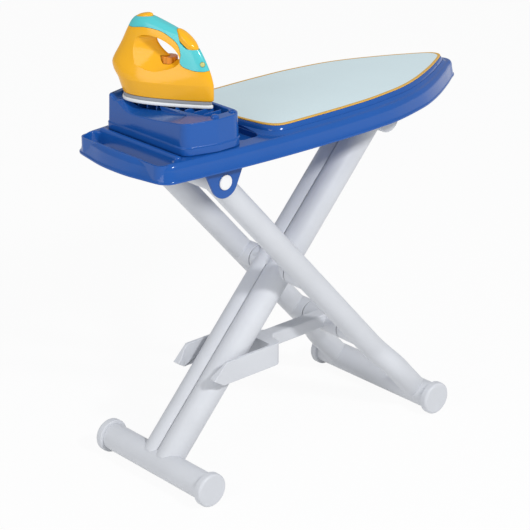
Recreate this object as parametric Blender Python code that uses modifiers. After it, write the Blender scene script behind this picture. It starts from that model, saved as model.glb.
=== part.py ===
"""Toy ironing board: a hollow board on scissor legs, a forked stay, and a toy iron standing in its rest.

Metres, +Z up, +X towards the nose of the board. The origin is on the floor, below the middle of the board.
The board hides four things that make it work: the ears that carry the outer legs, the rails that the inner
legs slide along when the board folds, the saddle that locks them, and the well that holds the iron rest.
"""

import math

import bmesh
import bpy
from mathutils import Matrix, Vector
from mathutils.geometry import interpolate_bezier

# Clearance between neighbours, and how far a cutter runs past what it cuts
GAP = 0.0003
OVERRUN = 0.004

# Number of sides on round pieces
TUBE_SIDES = 24
PIN_SIDES = 16

# Board: overall outline, levels and walls
BOARD_LENGTH = 0.720
BOARD_WIDTH = 0.254
RIM_BOTTOM_Z = 0.5292
DECK_Z = 0.5575
PAD_TOP_Z = 0.5702
WALL = 0.003
LIP_HEIGHT = 0.0032
LIP_STEP = 0.0016
WALL_DRAFT = 0.0026
SHOULDER_WIDTH = 0.0065
SHOULDER_HEIGHT = 0.0085
SHOULDER_STEPS = 4
NOSE_ROUNDING_SHARE = 0.3
# Half outline of the board, tail to nose: along, as a share of half the length, across, of half the width
BOARD_OUTLINE_SHARES = (
    (-1.0, 0.0), (-0.996, 0.25), (-0.983, 0.47), (-0.965, 0.665), (-0.951, 0.735), (-0.925, 0.778),
    (-0.864, 0.826), (-0.79, 0.864), (-0.57, 0.94), (-0.3, 0.99), (-0.02, 1.0), (0.16, 0.985),
    (0.31, 0.945), (0.48, 0.83), (0.58, 0.735), (0.71, 0.56), (0.85, 0.33), (0.935, 0.175), (0.979, 0.105),
    (1.0, 0.0),
)
OUTLINE_STEPS = 2

# Ironing pad and the raised platform under it, with the bevel down to the groove round it
PAD_THICKNESS = 0.0015
PAD_BEVEL = 0.0045
GROOVE_DROP = 0.0066
PLATFORM_SKIRT = 0.0075
PAD_OUTLINE_SHARES = (
    (-0.381, 0.0), (-0.378, 0.32), (-0.362, 0.6), (-0.325, 0.735), (-0.27, 0.788), (-0.17, 0.812),
    (-0.06, 0.816), (0.06, 0.812), (0.18, 0.8), (0.32, 0.752), (0.395, 0.716), (0.48, 0.652),
    (0.58, 0.545), (0.72, 0.36), (0.8, 0.235), (0.862, 0.135), (0.895, 0.072), (0.908, 0.0),
)
PLATFORM_RIDGES = 3
PLATFORM_RIDGE_PITCH = 0.005
PLATFORM_RIDGE_DEPTH = 0.0014

# Carry handle slot in the tail
SLOT_BAR_WIDTH = 0.015
SLOT_WIDTH = 0.032
SLOT_LENGTH = 0.183
SLOT_CORNER = 0.013
CURB_WIDTH = 0.007
CURB_HEIGHT = 0.0022

# Well between the iron rest and the pad
WELL_LENGTH = 0.037
WELL_WIDTH = 0.176
WELL_DEPTH = 0.009
WELL_CORNER = 0.012

# Outer leg frame: hinge axis under the tail, foot axis, tubes
HINGE_X = -0.2294
HINGE_Z = 0.5065
OUTER_FOOT_X = 0.1985
CAP_RADIUS = 0.0274
OUTER_TUBE_RADIUS = 0.0233
OUTER_LEG_Y = 0.0675
OUTER_LEG_FOOT_Y = 0.0942
JOG_START_SHARE = 0.78
JOG_END_SHARE = 0.89
JOG_STEPS = 6
FOOT_TUBE_RADIUS = 0.0221
OUTER_FOOT_HALF_LENGTH = 0.1401
LEG_FOOT_STANDOFF = 0.006

# Foot caps
CAP_LENGTH = 0.0133
CAP_ROUNDING = 0.0042
CAP_NECK = 0.0022
CAP_SPIGOT_RADIUS = 0.014
CAP_SPIGOT_LENGTH = 0.014
CAP_ROUND_STEPS = 3

# Ears and hinge pins
EAR_THICKNESS = 0.0095
EAR_RADIUS = 0.025
EAR_ROOT_HALF_WIDTH = 0.038
EAR_ARC_STEPS = 10
HINGE_PIN_RADIUS = 0.006
HINGE_HEAD_RADIUS = 0.0115
HINGE_HEAD_HEIGHT = 0.0032
HINGE_PIN_REACH = 0.040

# Inner leg frame: main pivot on the outer legs, top bar and foot
MAIN_PIVOT_SHARE = 0.443
INNER_TUBE_RADIUS = 0.0226
INNER_TUBE_Y = 0.0148
TOP_BAR_X = 0.1557
TOP_BAR_HALF_LENGTH = 0.055
INNER_FOOT_HALF_LENGTH = 0.1288
LEG_BAR_STANDOFF = 0.005

# Pivot hubs and their pins
HUB_RADIUS = 0.020
HUB_REACH = 0.0032
BOSS_FLARE = 0.0025
PIVOT_PIN_RADIUS = 0.007
PIVOT_PIN_BITE = 0.016

# Forked stay
STAY_PIVOT_SHARE = 0.7175
STAY_STEM_HALF_WIDTH = 0.012
STAY_STEM_HALF_HEIGHT = 0.0115
STAY_STEM_RISE = 0.0065
FORK_CLEARANCE = 0.0071
FORK_WALL = 0.006
FORK_BOTTOM_Z = 0.147
FORK_TOP_Z = 0.1845
FORK_BASE_X = -0.0700
FORK_BASE_DEPTH = 0.020
FORK_TIP_REACH = 0.1165
FORK_TIP_SLANT = 0.026
FORK_CORNER = 0.014
LIP_LENGTH = 0.012
LIP_CLEARANCE = 0.0006
FORK_GUSSET = 0.016

# Rails and saddle under the board for the inner legs' top bar
RAIL_Y = 0.034
RAIL_WALL = 0.003
RAIL_START_X = 0.100
RAIL_END_X = 0.285
SADDLE_WALL = 0.005
SADDLE_DROP = 0.006

# Iron rest: plan, heights, tray and ribs
REST_TAIL_X = -0.296
REST_LENGTH = 0.104
REST_TAIL_HALF_WIDTH = 0.090
REST_SIDE_HALF_WIDTH = 0.1035
REST_TOP_Z = 0.606
REST_POST_Z = 0.613
REST_DRAFT = 0.003
REST_EDGE_ROUNDING = 0.003
REST_WALL = 0.003
TRAY_DEPTH = 0.012
TRAY_MARGIN = 0.008
TRAY_RIM = 0.005
RIB_COUNT = 9
RIB_WALL = 0.0022
SCREW_RADIUS = 0.002
SCREW_HEAD_RADIUS = 0.004
SCREW_HEAD_HEIGHT = 0.0024
SCREW_BOSS_RADIUS = 0.0045
SCREW_LENGTH = 0.014

# Iron: where it stands and its main sizes
IRON_HEEL_X = -0.263
IRON_HEEL_Y = 0.068
IRON_HEADING = math.radians(-70)
SOLE_REAR = 0.007
SOLE_LENGTH = 0.143
SOLE_HALF_WIDTH = 0.028
SOLE_HEIGHT = 0.0052
SKIRT_HEIGHT = 0.0048
SKIRT_INSET = 0.0016
IRON_RING_SIDES = 32

# Iron body sections above the skirt: height, rear end, front end, half width, and how pointed the front is
IRON_HEIGHT = 0.1300
IRON_LENGTH = 0.1375
IRON_HALF_WIDTH = 0.0300
IRON_SECTION_SHARES = (
    (0.085, -0.045, 0.985, 0.94, 0.60), (0.105, -0.065, 1.0, 0.99, 0.58), (0.215, -0.110, 1.0, 1.0, 0.54),
    (0.340, -0.150, 0.982, 0.93, 0.48), (0.415, -0.145, 0.958, 0.84, 0.42), (0.490, -0.115, 0.928, 0.745, 0.36),
    (0.585, -0.075, 0.887, 0.66, 0.30), (0.680, -0.043, 0.838, 0.60, 0.25), (0.770, -0.018, 0.762, 0.56, 0.20),
    (0.830, 0.000, 0.685, 0.53, 0.16), (0.872, 0.014, 0.580, 0.50, 0.12), (0.908, 0.030, 0.480, 0.46, 0.08),
    (0.945, 0.055, 0.370, 0.38, 0.04), (0.972, 0.090, 0.300, 0.26, 0.0),
)
# Finger loop: centre along the iron and its height, mouth half sizes, throat half sizes
LOOP_CENTRE_SHARES = (0.345, 0.585)
LOOP_MOUTH = (0.041, 0.0235)
LOOP_THROAT = (0.033, 0.0165)
LOOP_LEAN = math.radians(-8)
LOOP_SIDES = 28
# Seam between the body and the handle cover: along and height shares
SEAM_SHARES = (
    (-0.40, 0.845), (0.05, 0.845), (0.236, 0.868), (0.42, 0.845), (0.54, 0.784), (0.624, 0.708), (0.658, 0.608),
    (0.662, 0.495), (0.776, 0.440), (0.897, 0.427), (0.995, 0.446), (1.25, 0.480),
)
# Buttons, lens and dial
REAR_BUTTON_SHARES = (0.170, 0.885)
REAR_BUTTON_HALF_LENGTH = 0.0145
REAR_BUTTON_HALF_WIDTH = 0.0075
REAR_BUTTON_HEIGHT = 0.0165
REAR_BUTTON_TRAVEL = 0.002
FRONT_BUTTON_SHARES = (0.705, 0.790)
FRONT_BUTTON_TILT = math.radians(34)
FRONT_BUTTON_HALF_LENGTH = 0.0190
FRONT_BUTTON_HALF_WIDTH = 0.0090
FRONT_BUTTON_HEIGHT = 0.0110
FRONT_BUTTON_TRAVEL = 0.0015
BUTTON_SIDES = 20
SPRING_RADIUS = 0.0032
SPRING_WIRE = 0.0005
SPRING_TURNS = 5
SPRING_LENGTH = 0.009
LENS_SHARES = (0.915, 0.520)
LENS_RADIUS = 0.0042
LENS_DEPTH = 0.004
DIAL_SHARES = (0.470, 0.425)
DIAL_RADIUS = 0.0125
DIAL_HEIGHT = 0.0135
DIAL_GRIPS = 12
DIAL_AXLE_RADIUS = 0.003
DIAL_AXLE_LENGTH = 0.008

# Colours: base colour, roughness
COLOURS = {
    "blue": ((0.030, 0.120, 0.480), 0.22),
    "pad": ((0.630, 0.750, 0.800), 0.60),
    "grey": ((0.600, 0.620, 0.660), 0.42),
    "white": ((0.850, 0.860, 0.880), 0.35),
    "yellow": ((0.900, 0.460, 0.020), 0.28),
    "turquoise": ((0.090, 0.560, 0.600), 0.30),
    "orange": ((0.780, 0.300, 0.020), 0.35),
    "pale": ((0.640, 0.660, 0.660), 0.35),
    "band": ((0.330, 0.340, 0.370), 0.45),
    "steel": ((0.550, 0.560, 0.580), 0.30),
}

# Sizes that follow from the ones above
HALF_LENGTH = BOARD_LENGTH / 2
HALF_WIDTH = BOARD_WIDTH / 2
FOOT_Z = CAP_RADIUS
HINGE = Vector((HINGE_X, 0, HINGE_Z))
OUTER_FOOT = Vector((OUTER_FOOT_X, 0, FOOT_Z))
MAIN_PIVOT = HINGE.lerp(OUTER_FOOT, MAIN_PIVOT_SHARE)
STAY_PIVOT = HINGE.lerp(OUTER_FOOT, STAY_PIVOT_SHARE)
TOP_BAR_Z = RIM_BOTTOM_Z - INNER_TUBE_RADIUS
TOP_BAR = Vector((TOP_BAR_X, 0, TOP_BAR_Z))
INNER_DIRECTION = (MAIN_PIVOT - TOP_BAR).normalized()
INNER_FOOT = TOP_BAR + INNER_DIRECTION * ((TOP_BAR_Z - FOOT_Z) / -INNER_DIRECTION.z)
INNER_HALF_WIDTH = INNER_TUBE_Y + INNER_TUBE_RADIUS
HUB_HALF_WIDTH = INNER_HALF_WIDTH + HUB_REACH
OUTER_LEG_FACE = OUTER_LEG_Y + OUTER_TUBE_RADIUS
EAR_INNER_Y = OUTER_LEG_FACE + GAP
EAR_OUTER_Y = EAR_INNER_Y + EAR_THICKNESS
PLATFORM_TOP_Z = PAD_TOP_Z - PAD_THICKNESS - GAP
REST_BASE_Z = DECK_Z + GAP
TRAY_FLOOR_Z = REST_TOP_Z - TRAY_DEPTH
IRON_BASE_Z = REST_TOP_Z + GAP

COLLECTIONS = {}


# Scene and mesh helpers

def clear_scene():
    for obj in list(bpy.data.objects):
        bpy.data.objects.remove(obj, do_unlink=True)
    for label in ("toy_ironing_board", "cutters"):
        group = bpy.data.collections.new(label)
        bpy.context.scene.collection.children.link(group)
        COLLECTIONS[label] = group


def material(key):
    found = bpy.data.materials.get(key)
    if found:
        return found
    colour, roughness = COLOURS[key]
    made = bpy.data.materials.new(key)
    made.use_nodes = True
    shader = made.node_tree.nodes["Principled BSDF"]
    shader.inputs["Base Color"].default_value = (*colour, 1)
    shader.inputs["Roughness"].default_value = roughness
    shader.inputs["Metallic"].default_value = 1 if key == "steel" else 0
    made.diffuse_color = (*colour, 1)
    return made


def object_from(bm, name):
    mesh = bpy.data.meshes.new(name)
    bmesh.ops.recalc_face_normals(bm, faces=bm.faces)
    bm.to_mesh(mesh)
    bm.free()
    obj = bpy.data.objects.new(name, mesh)
    COLLECTIONS["cutters"].objects.link(obj)
    obj.hide_render = True
    obj.display_type = "WIRE"
    return obj


def as_part(obj, name, colour, parent=None, sharp=35):
    """Turn a helper shape into a named sub-part with its material and its joint empty as parent."""
    COLLECTIONS["cutters"].objects.unlink(obj)
    COLLECTIONS["toy_ironing_board"].objects.link(obj)
    obj.hide_render = False
    obj.display_type = "TEXTURED"
    obj.name = name
    obj.data.name = name
    obj.data.materials.clear()
    obj.data.materials.append(material(colour))
    obj.data.shade_smooth()
    obj.data.set_sharp_from_angle(angle=math.radians(sharp))
    if parent:
        obj.parent = parent
        obj.matrix_parent_inverse = parent.matrix_world.inverted()
    return obj


def joint_empty(name, place, parent=None):
    empty = bpy.data.objects.new(name, None)
    COLLECTIONS["toy_ironing_board"].objects.link(empty)
    if parent:
        empty.parent = parent
        empty.matrix_parent_inverse = parent.matrix_world.inverted()
    empty.location = place
    bpy.context.view_layer.update()
    return empty


def boolean(target, other, operation="DIFFERENCE", solver="EXACT"):
    step = target.modifiers.new(operation.lower(), "BOOLEAN")
    step.operation = operation
    step.object = other
    step.solver = solver
    return target


def cut(target, *cutters, solver="EXACT"):
    for cutter in cutters:
        boolean(target, cutter, "DIFFERENCE", solver)
    return target


def fuse(target, *additions, solver="EXACT"):
    for addition in additions:
        boolean(target, addition, "UNION", solver)
    return target


def along(direction, centre):
    """Matrix that stands a shape's own Z along a direction, at a centre."""
    turn = Vector(direction).to_track_quat("Z", "Y").to_matrix().to_4x4()
    return Matrix.Translation(centre) @ turn


def cylinder(name, radius, start, end, sides=PIN_SIDES, end_radius=None):
    start, end = Vector(start), Vector(end)
    bm = bmesh.new()
    bmesh.ops.create_cone(bm, cap_ends=True, segments=sides, radius1=radius,
                          radius2=radius if end_radius is None else end_radius,
                          depth=(end - start).length, matrix=along(end - start, (start + end) / 2))
    return object_from(bm, name)


def box(name, low, high):
    low, high = Vector(low), Vector(high)
    bm = bmesh.new()
    bmesh.ops.create_cube(bm, size=1)
    bmesh.ops.scale(bm, vec=high - low, verts=bm.verts)
    bmesh.ops.translate(bm, vec=(low + high) / 2, verts=bm.verts)
    return object_from(bm, name)


def ellipsoid(name, half_sizes, matrix, sides=BUTTON_SIDES):
    bm = bmesh.new()
    bmesh.ops.create_uvsphere(bm, u_segments=sides, v_segments=sides // 2, radius=1)
    bmesh.ops.scale(bm, vec=half_sizes, verts=bm.verts)
    bmesh.ops.transform(bm, matrix=matrix, verts=bm.verts)
    return object_from(bm, name)


def mesh_from_curve(curve_object, name):
    """Make a curve object a closed mesh whose caps are welded to its sides."""
    COLLECTIONS["cutters"].objects.link(curve_object)
    bpy.context.view_layer.update()
    evaluated = curve_object.evaluated_get(bpy.context.evaluated_depsgraph_get())
    mesh = bpy.data.meshes.new_from_object(evaluated)
    bm = bmesh.new()
    bm.from_mesh(mesh)
    bmesh.ops.remove_doubles(bm, verts=bm.verts, dist=GAP / 10)
    obj = object_from(bm, name)
    obj.matrix_world = curve_object.matrix_world
    bpy.data.objects.remove(curve_object, do_unlink=True)
    bpy.data.meshes.remove(mesh)
    return obj


def tube(name, points, radius, sides=TUBE_SIDES):
    """A round bar along points: a poly curve with a bevel and filled caps."""
    curve = bpy.data.curves.new(name, "CURVE")
    curve.dimensions = "3D"
    curve.bevel_depth = radius
    curve.bevel_resolution = (sides - 4) // 2
    curve.use_fill_caps = True
    spline = curve.splines.new("POLY")
    spline.points.add(len(points) - 1)
    for point, place in zip(spline.points, points):
        point.co = (*place, 1)
    return mesh_from_curve(bpy.data.objects.new(name, curve), name)


def plate(name, outline, thickness, matrix=None, rounding=0, rounding_steps=1):
    """A flat outline in its own XY plane, extruded both ways from it, with rounded edges if asked."""
    curve = bpy.data.curves.new(name, "CURVE")
    curve.dimensions = "2D"
    curve.fill_mode = "BOTH"
    curve.extrude = thickness / 2 - rounding
    curve.bevel_depth = rounding
    curve.bevel_resolution = rounding_steps
    curve.offset = -rounding
    spline = curve.splines.new("POLY")
    spline.points.add(len(outline) - 1)
    for point, place in zip(spline.points, outline):
        point.co = (place[0], place[1], 0, 1)
    spline.use_cyclic_u = True
    obj = mesh_from_curve(bpy.data.objects.new(name, curve), name)
    if matrix:
        obj.data.transform(matrix)
    return obj


def turned(name, profile, matrix, sides=TUBE_SIDES):
    """A profile of (radius, height) pairs, from its top on the axis to its bottom, spun by a Screw."""
    bm = bmesh.new()
    corners = [bm.verts.new((radius, 0, height)) for radius, height in profile]
    for first, second in zip(corners, corners[1:]):
        bm.edges.new((first, second))
    mesh = bpy.data.meshes.new(name)
    bm.to_mesh(mesh)
    bm.free()
    obj = bpy.data.objects.new(name, mesh)
    COLLECTIONS["cutters"].objects.link(obj)
    obj.hide_render = True
    obj.display_type = "WIRE"
    spin = obj.modifiers.new("spin", "SCREW")
    spin.steps = sides
    spin.render_steps = sides
    spin.use_merge_vertices = True
    spin.merge_threshold = GAP / 10
    obj.matrix_world = matrix
    return obj


def loft(name, rings):
    """A closed skin through rings of equally many points, with a flat cap at each end."""
    bm = bmesh.new()
    rows = [[bm.verts.new(point) for point in ring] for ring in rings]
    count = len(rows[0])
    for lower, upper in zip(rows, rows[1:]):
        for i in range(count):
            j = (i + 1) % count
            bm.faces.new((lower[i], lower[j], upper[j], upper[i]))
    bm.faces.new(list(reversed(rows[0])))
    bm.faces.new(rows[-1])
    return object_from(bm, name)


# Outlines

def smooth_closed(points, steps):
    """Round a closed chain of plan points with bezier pieces whose handles follow the chain."""
    count = len(points)
    tangents = [(points[(i + 1) % count] - points[i - 1]).normalized() for i in range(count)]
    result = []
    for i in range(count):
        j = (i + 1) % count
        reach = (points[j] - points[i]).length / 3
        piece = interpolate_bezier(points[i].to_3d(), (points[i] + tangents[i] * reach).to_3d(),
                                   (points[j] - tangents[j] * reach).to_3d(), points[j].to_3d(), steps + 1)
        result.extend(point.to_2d() for point in piece[:-1])
    return result


def mirrored_outline(shares, steps):
    """Full outline, counter-clockwise, from a half given as shares of the board's half sizes."""
    near = [Vector((x * HALF_LENGTH, -y * HALF_WIDTH)) for x, y in shares]
    far = [Vector((point.x, -point.y)) for point in reversed(near[1:-1])]
    return smooth_closed(near + far, steps)


def offset_outline(outline, grow, nose_share=0):
    """Move each point along its outward normal, by more towards the nose if asked."""
    count = len(outline)
    moved = []
    for i in range(count):
        tangent = (outline[(i + 1) % count] - outline[i - 1]).normalized()
        normal = Vector((tangent.y, -tangent.x))
        moved.append(outline[i] + normal * grow * (1 + nose_share * max(0, normal.x) ** 3))
    return moved


def at_height(outline, z):
    return [Vector((point.x, point.y, z)) for point in outline]


def rounded_box_outline(low, high, radius, steps=4):
    """Rectangle with round corners, counter-clockwise."""
    corners = (
        (high[0] - radius, high[1] - radius, 0), (low[0] + radius, high[1] - radius, 90),
        (low[0] + radius, low[1] + radius, 180), (high[0] - radius, low[1] + radius, 270),
    )
    points = []
    for x, y, start in corners:
        for step in range(steps + 1):
            angle = math.radians(start + 90 * step / steps)
            points.append(Vector((x + radius * math.cos(angle), y + radius * math.sin(angle))))
    return points


def rounded_corners(points, radii, steps=4):
    """Fillet the corners of a convex plan polygon, each with its own radius."""
    count = len(points)
    result = []
    for i in range(count):
        corner = points[i]
        before = (points[i - 1] - corner).normalized()
        after = (points[(i + 1) % count] - corner).normalized()
        half = before.angle(after) / 2
        reach = radii[i] / math.tan(half)
        centre = corner + (before + after).normalized() * (radii[i] / math.sin(half))
        first = corner + before * reach - centre
        last = corner + after * reach - centre
        turn = first.angle_signed(last)
        for step in range(steps + 1):
            angle = -turn * step / steps
            result.append(centre + Matrix.Rotation(angle, 2) @ first)
    return result


# Board shell

def board_profile():
    """Inset and height pairs up the outside of the board, from the lip to the flat deck."""
    lip_top = RIM_BOTTOM_Z + LIP_HEIGHT
    draft = LIP_STEP + WALL_DRAFT
    profile = [(0, RIM_BOTTOM_Z), (0, lip_top), (LIP_STEP, lip_top + LIP_STEP / 2)]
    for step in range(SHOULDER_STEPS + 1):
        angle = math.radians(90 * step / SHOULDER_STEPS)
        profile.append((draft + SHOULDER_WIDTH * (1 - math.cos(angle)),
                        DECK_Z - SHOULDER_HEIGHT * (1 - math.sin(angle))))
    return profile


def board_outer(outline):
    rings = [at_height(offset_outline(outline, -inset, NOSE_ROUNDING_SHARE), z) for inset, z in board_profile()]
    return loft("board_outer", rings)


def board_hollow(outline):
    """The space inside the skirt, one wall in from the outside and open at the bottom."""
    draft = LIP_STEP + WALL_DRAFT
    levels = (
        (WALL, RIM_BOTTOM_Z - OVERRUN), (WALL, RIM_BOTTOM_Z), (WALL + LIP_STEP, RIM_BOTTOM_Z + LIP_HEIGHT),
        (WALL + draft, DECK_Z - SHOULDER_HEIGHT), (WALL + draft + SHOULDER_WIDTH, DECK_Z - WALL),
    )
    rings = [at_height(offset_outline(outline, -inset, NOSE_ROUNDING_SHARE), z) for inset, z in levels]
    return loft("board_hollow", rings)


def pad_platform(outline):
    """The raised step that carries the pad: a skirt from the shoulder, the groove line and a bevel."""
    groove_z = PLATFORM_TOP_Z - GROOVE_DROP
    skirt = PAD_BEVEL + PLATFORM_SKIRT
    levels = (
        (skirt, DECK_Z - WALL / 2), (skirt, DECK_Z), (PAD_BEVEL + GAP, groove_z), (PAD_BEVEL, groove_z),
        (WALL / 3, PLATFORM_TOP_Z - WALL / 3), (WALL / 6, PLATFORM_TOP_Z),
    )
    rings = [at_height(offset_outline(outline, grow, NOSE_ROUNDING_SHARE / 2), z) for grow, z in levels]
    return loft("pad_platform", rings)


def pad_platform_hollow(outline):
    levels = ((-WALL, RIM_BOTTOM_Z + WALL), (-WALL, PLATFORM_TOP_Z - WALL))
    return loft("pad_platform_hollow", [at_height(offset_outline(outline, grow), z) for grow, z in levels])


def ear(side):
    """Hinge ear: a round end about the pin that widens to its root under the deck."""
    arc = []
    root_z = RIM_BOTTOM_Z - HINGE_Z
    spread = math.atan2(root_z, EAR_ROOT_HALF_WIDTH)
    reach = math.hypot(EAR_ROOT_HALF_WIDTH, root_z)
    tangent = spread - math.acos(EAR_RADIUS / reach)
    for step in range(EAR_ARC_STEPS + 1):
        angle = tangent - (math.pi + 2 * tangent) * step / EAR_ARC_STEPS
        arc.append((HINGE_X + EAR_RADIUS * math.cos(angle), HINGE_Z + EAR_RADIUS * math.sin(angle)))
    top_z = DECK_Z - WALL / 2
    outline = arc + [
        (HINGE_X - EAR_ROOT_HALF_WIDTH, RIM_BOTTOM_Z), (HINGE_X - EAR_ROOT_HALF_WIDTH, top_z),
        (HINGE_X + EAR_ROOT_HALF_WIDTH, top_z), (HINGE_X + EAR_ROOT_HALF_WIDTH, RIM_BOTTOM_Z),
    ]
    middle = side * (EAR_INNER_Y + EAR_OUTER_Y) / 2
    stand = Matrix.Translation((0, middle, 0)) @ Matrix.Rotation(math.radians(90), 4, "X")
    return plate("ear", outline, EAR_THICKNESS, stand, rounding=WALL / 3)


def rail(side):
    low = (RAIL_START_X, side * RAIL_Y - RAIL_WALL / 2, RIM_BOTTOM_Z + GAP)
    high = (RAIL_END_X, side * RAIL_Y + RAIL_WALL / 2, PLATFORM_TOP_Z - WALL / 2)
    return box("rail", low, high)


def saddle():
    """Stop behind the top bar: it reaches below the rails, with a hollow that fits the bar."""
    reach = RAIL_Y + RAIL_WALL / 2
    stop = box("saddle", (TOP_BAR_X - INNER_TUBE_RADIUS - SADDLE_WALL, -reach, RIM_BOTTOM_Z - SADDLE_DROP),
               (TOP_BAR_X - INNER_TUBE_RADIUS / 2, reach, PLATFORM_TOP_Z - WALL / 2))
    bar = cylinder("saddle_bar", INNER_TUBE_RADIUS + GAP, (TOP_BAR_X, -TOP_BAR_HALF_LENGTH, TOP_BAR_Z),
                   (TOP_BAR_X, TOP_BAR_HALF_LENGTH, TOP_BAR_Z), TUBE_SIDES)
    return cut(stop, bar)


def rest_plan():
    """Plan of the iron rest: narrower towards the tail, with wide rounds on the pad side."""
    nose_x = REST_TAIL_X + REST_LENGTH
    knee_x = REST_TAIL_X + REST_LENGTH / 2
    corners = [
        Vector((REST_TAIL_X, -REST_TAIL_HALF_WIDTH)), Vector((knee_x, -REST_SIDE_HALF_WIDTH)),
        Vector((nose_x, -REST_SIDE_HALF_WIDTH)), Vector((nose_x, REST_SIDE_HALF_WIDTH)),
        Vector((knee_x, REST_SIDE_HALF_WIDTH)), Vector((REST_TAIL_X, REST_TAIL_HALF_WIDTH)),
    ]
    tail_round = WELL_CORNER / 2
    nose_round = WELL_CORNER * 2
    return rounded_corners(corners, (tail_round, nose_round, nose_round, nose_round, nose_round, tail_round))


def screw_places():
    """Where the screws of the iron rest stand: two by the tail, two by the pad."""
    xs = (REST_TAIL_X + REST_LENGTH / 8, REST_TAIL_X + REST_LENGTH * 7 / 8)
    return [(x, side * REST_TAIL_HALF_WIDTH * 2 / 3) for x in xs for side in (-1, 1)]


def well_limits():
    start = REST_TAIL_X + REST_LENGTH + WALL / 2
    return (start, -WELL_WIDTH / 2), (start + WELL_LENGTH, WELL_WIDTH / 2)


def make_board_shell():
    outline = mirrored_outline(BOARD_OUTLINE_SHARES, OUTLINE_STEPS)
    pad = mirrored_outline(PAD_OUTLINE_SHARES, OUTLINE_STEPS)
    shell = board_outer(outline)
    fuse(shell, pad_platform(pad))
    cut(shell, board_hollow(outline), pad_platform_hollow(pad))
    slot_low = Vector((-HALF_LENGTH + SLOT_BAR_WIDTH, -SLOT_LENGTH / 2))
    slot_high = slot_low + Vector((SLOT_WIDTH, SLOT_LENGTH))
    wall = Vector((WALL, WALL))
    sleeve = loft("slot_sleeve", [
        at_height(rounded_box_outline(slot_low - wall, slot_high + wall, SLOT_CORNER + WALL), z)
        for z in (RIM_BOTTOM_Z + WALL, DECK_Z - WALL / 2)])
    slot = loft("slot_hole", [at_height(rounded_box_outline(slot_low, slot_high, SLOT_CORNER), z)
                              for z in (RIM_BOTTOM_Z - OVERRUN, DECK_Z + CURB_HEIGHT + OVERRUN)])
    curb_low = Vector((slot_high.x + GAP, -SLOT_LENGTH / 2))
    curb = loft("curb", [
        at_height(rounded_box_outline(curb_low, curb_low + Vector((CURB_WIDTH, SLOT_LENGTH)), CURB_WIDTH / 3), z)
        for z in (DECK_Z - WALL / 2, DECK_Z + CURB_HEIGHT)])
    well_low, well_high = well_limits()
    tub = loft("well_tub", [at_height(rounded_box_outline(Vector(well_low) - wall, Vector(well_high) + wall,
                                                          WELL_CORNER + WALL), z)
                            for z in (DECK_Z - WELL_DEPTH - WALL, DECK_Z - WALL / 2)])
    well = loft("well_hole", [at_height(rounded_box_outline(well_low, well_high, WELL_CORNER), z)
                              for z in (DECK_Z - WELL_DEPTH, PLATFORM_TOP_Z + OVERRUN)])
    fuse(shell, sleeve, curb, tub, ear(-1), ear(1), rail(-1), rail(1), saddle())
    cut(shell, slot, well)
    hinge_hole = cylinder("hinge_hole", HINGE_PIN_RADIUS + GAP, (HINGE_X, -EAR_OUTER_Y - OVERRUN, HINGE_Z),
                          (HINGE_X, EAR_OUTER_Y + OVERRUN, HINGE_Z))
    cut(shell, hinge_hole)
    for x, y in screw_places():
        cut(shell, cylinder("screw_hole", SCREW_RADIUS + GAP, (x, y, DECK_Z - WALL - OVERRUN),
                            (x, y, DECK_Z + OVERRUN)))
    as_part(shell, "board_shell", "blue", sharp=25)
    lay = offset_outline(pad, 0)
    sheet = loft("ironing_pad", [at_height(lay, z) for z in (PLATFORM_TOP_Z + GAP, PAD_TOP_Z)])
    as_part(sheet, "ironing_pad", "pad")


# Iron rest

def iron_matrix():
    return Matrix.Translation((IRON_HEEL_X, IRON_HEEL_Y, IRON_BASE_Z)) @ Matrix.Rotation(IRON_HEADING, 4, "Z")


def iron_outline(rear, front, half_width, point_share, sides=IRON_RING_SIDES):
    """Flat-iron plan along +X: blunt at the rear, drawn to a point at the front by the point share."""
    middle, reach = (rear + front) / 2, (front - rear) / 2
    turns = [2 * math.pi * i / sides for i in range(sides)]
    widest = max(abs(math.sin(a)) ** 0.8 * (1 - point_share * math.cos(a)) for a in turns)
    points = []
    for angle in turns:
        across = math.copysign(abs(math.sin(angle)) ** 0.8, math.sin(angle)) * (1 - point_share * math.cos(angle))
        points.append(Vector((middle + reach * math.cos(angle), half_width * across / widest)))
    return points


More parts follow.
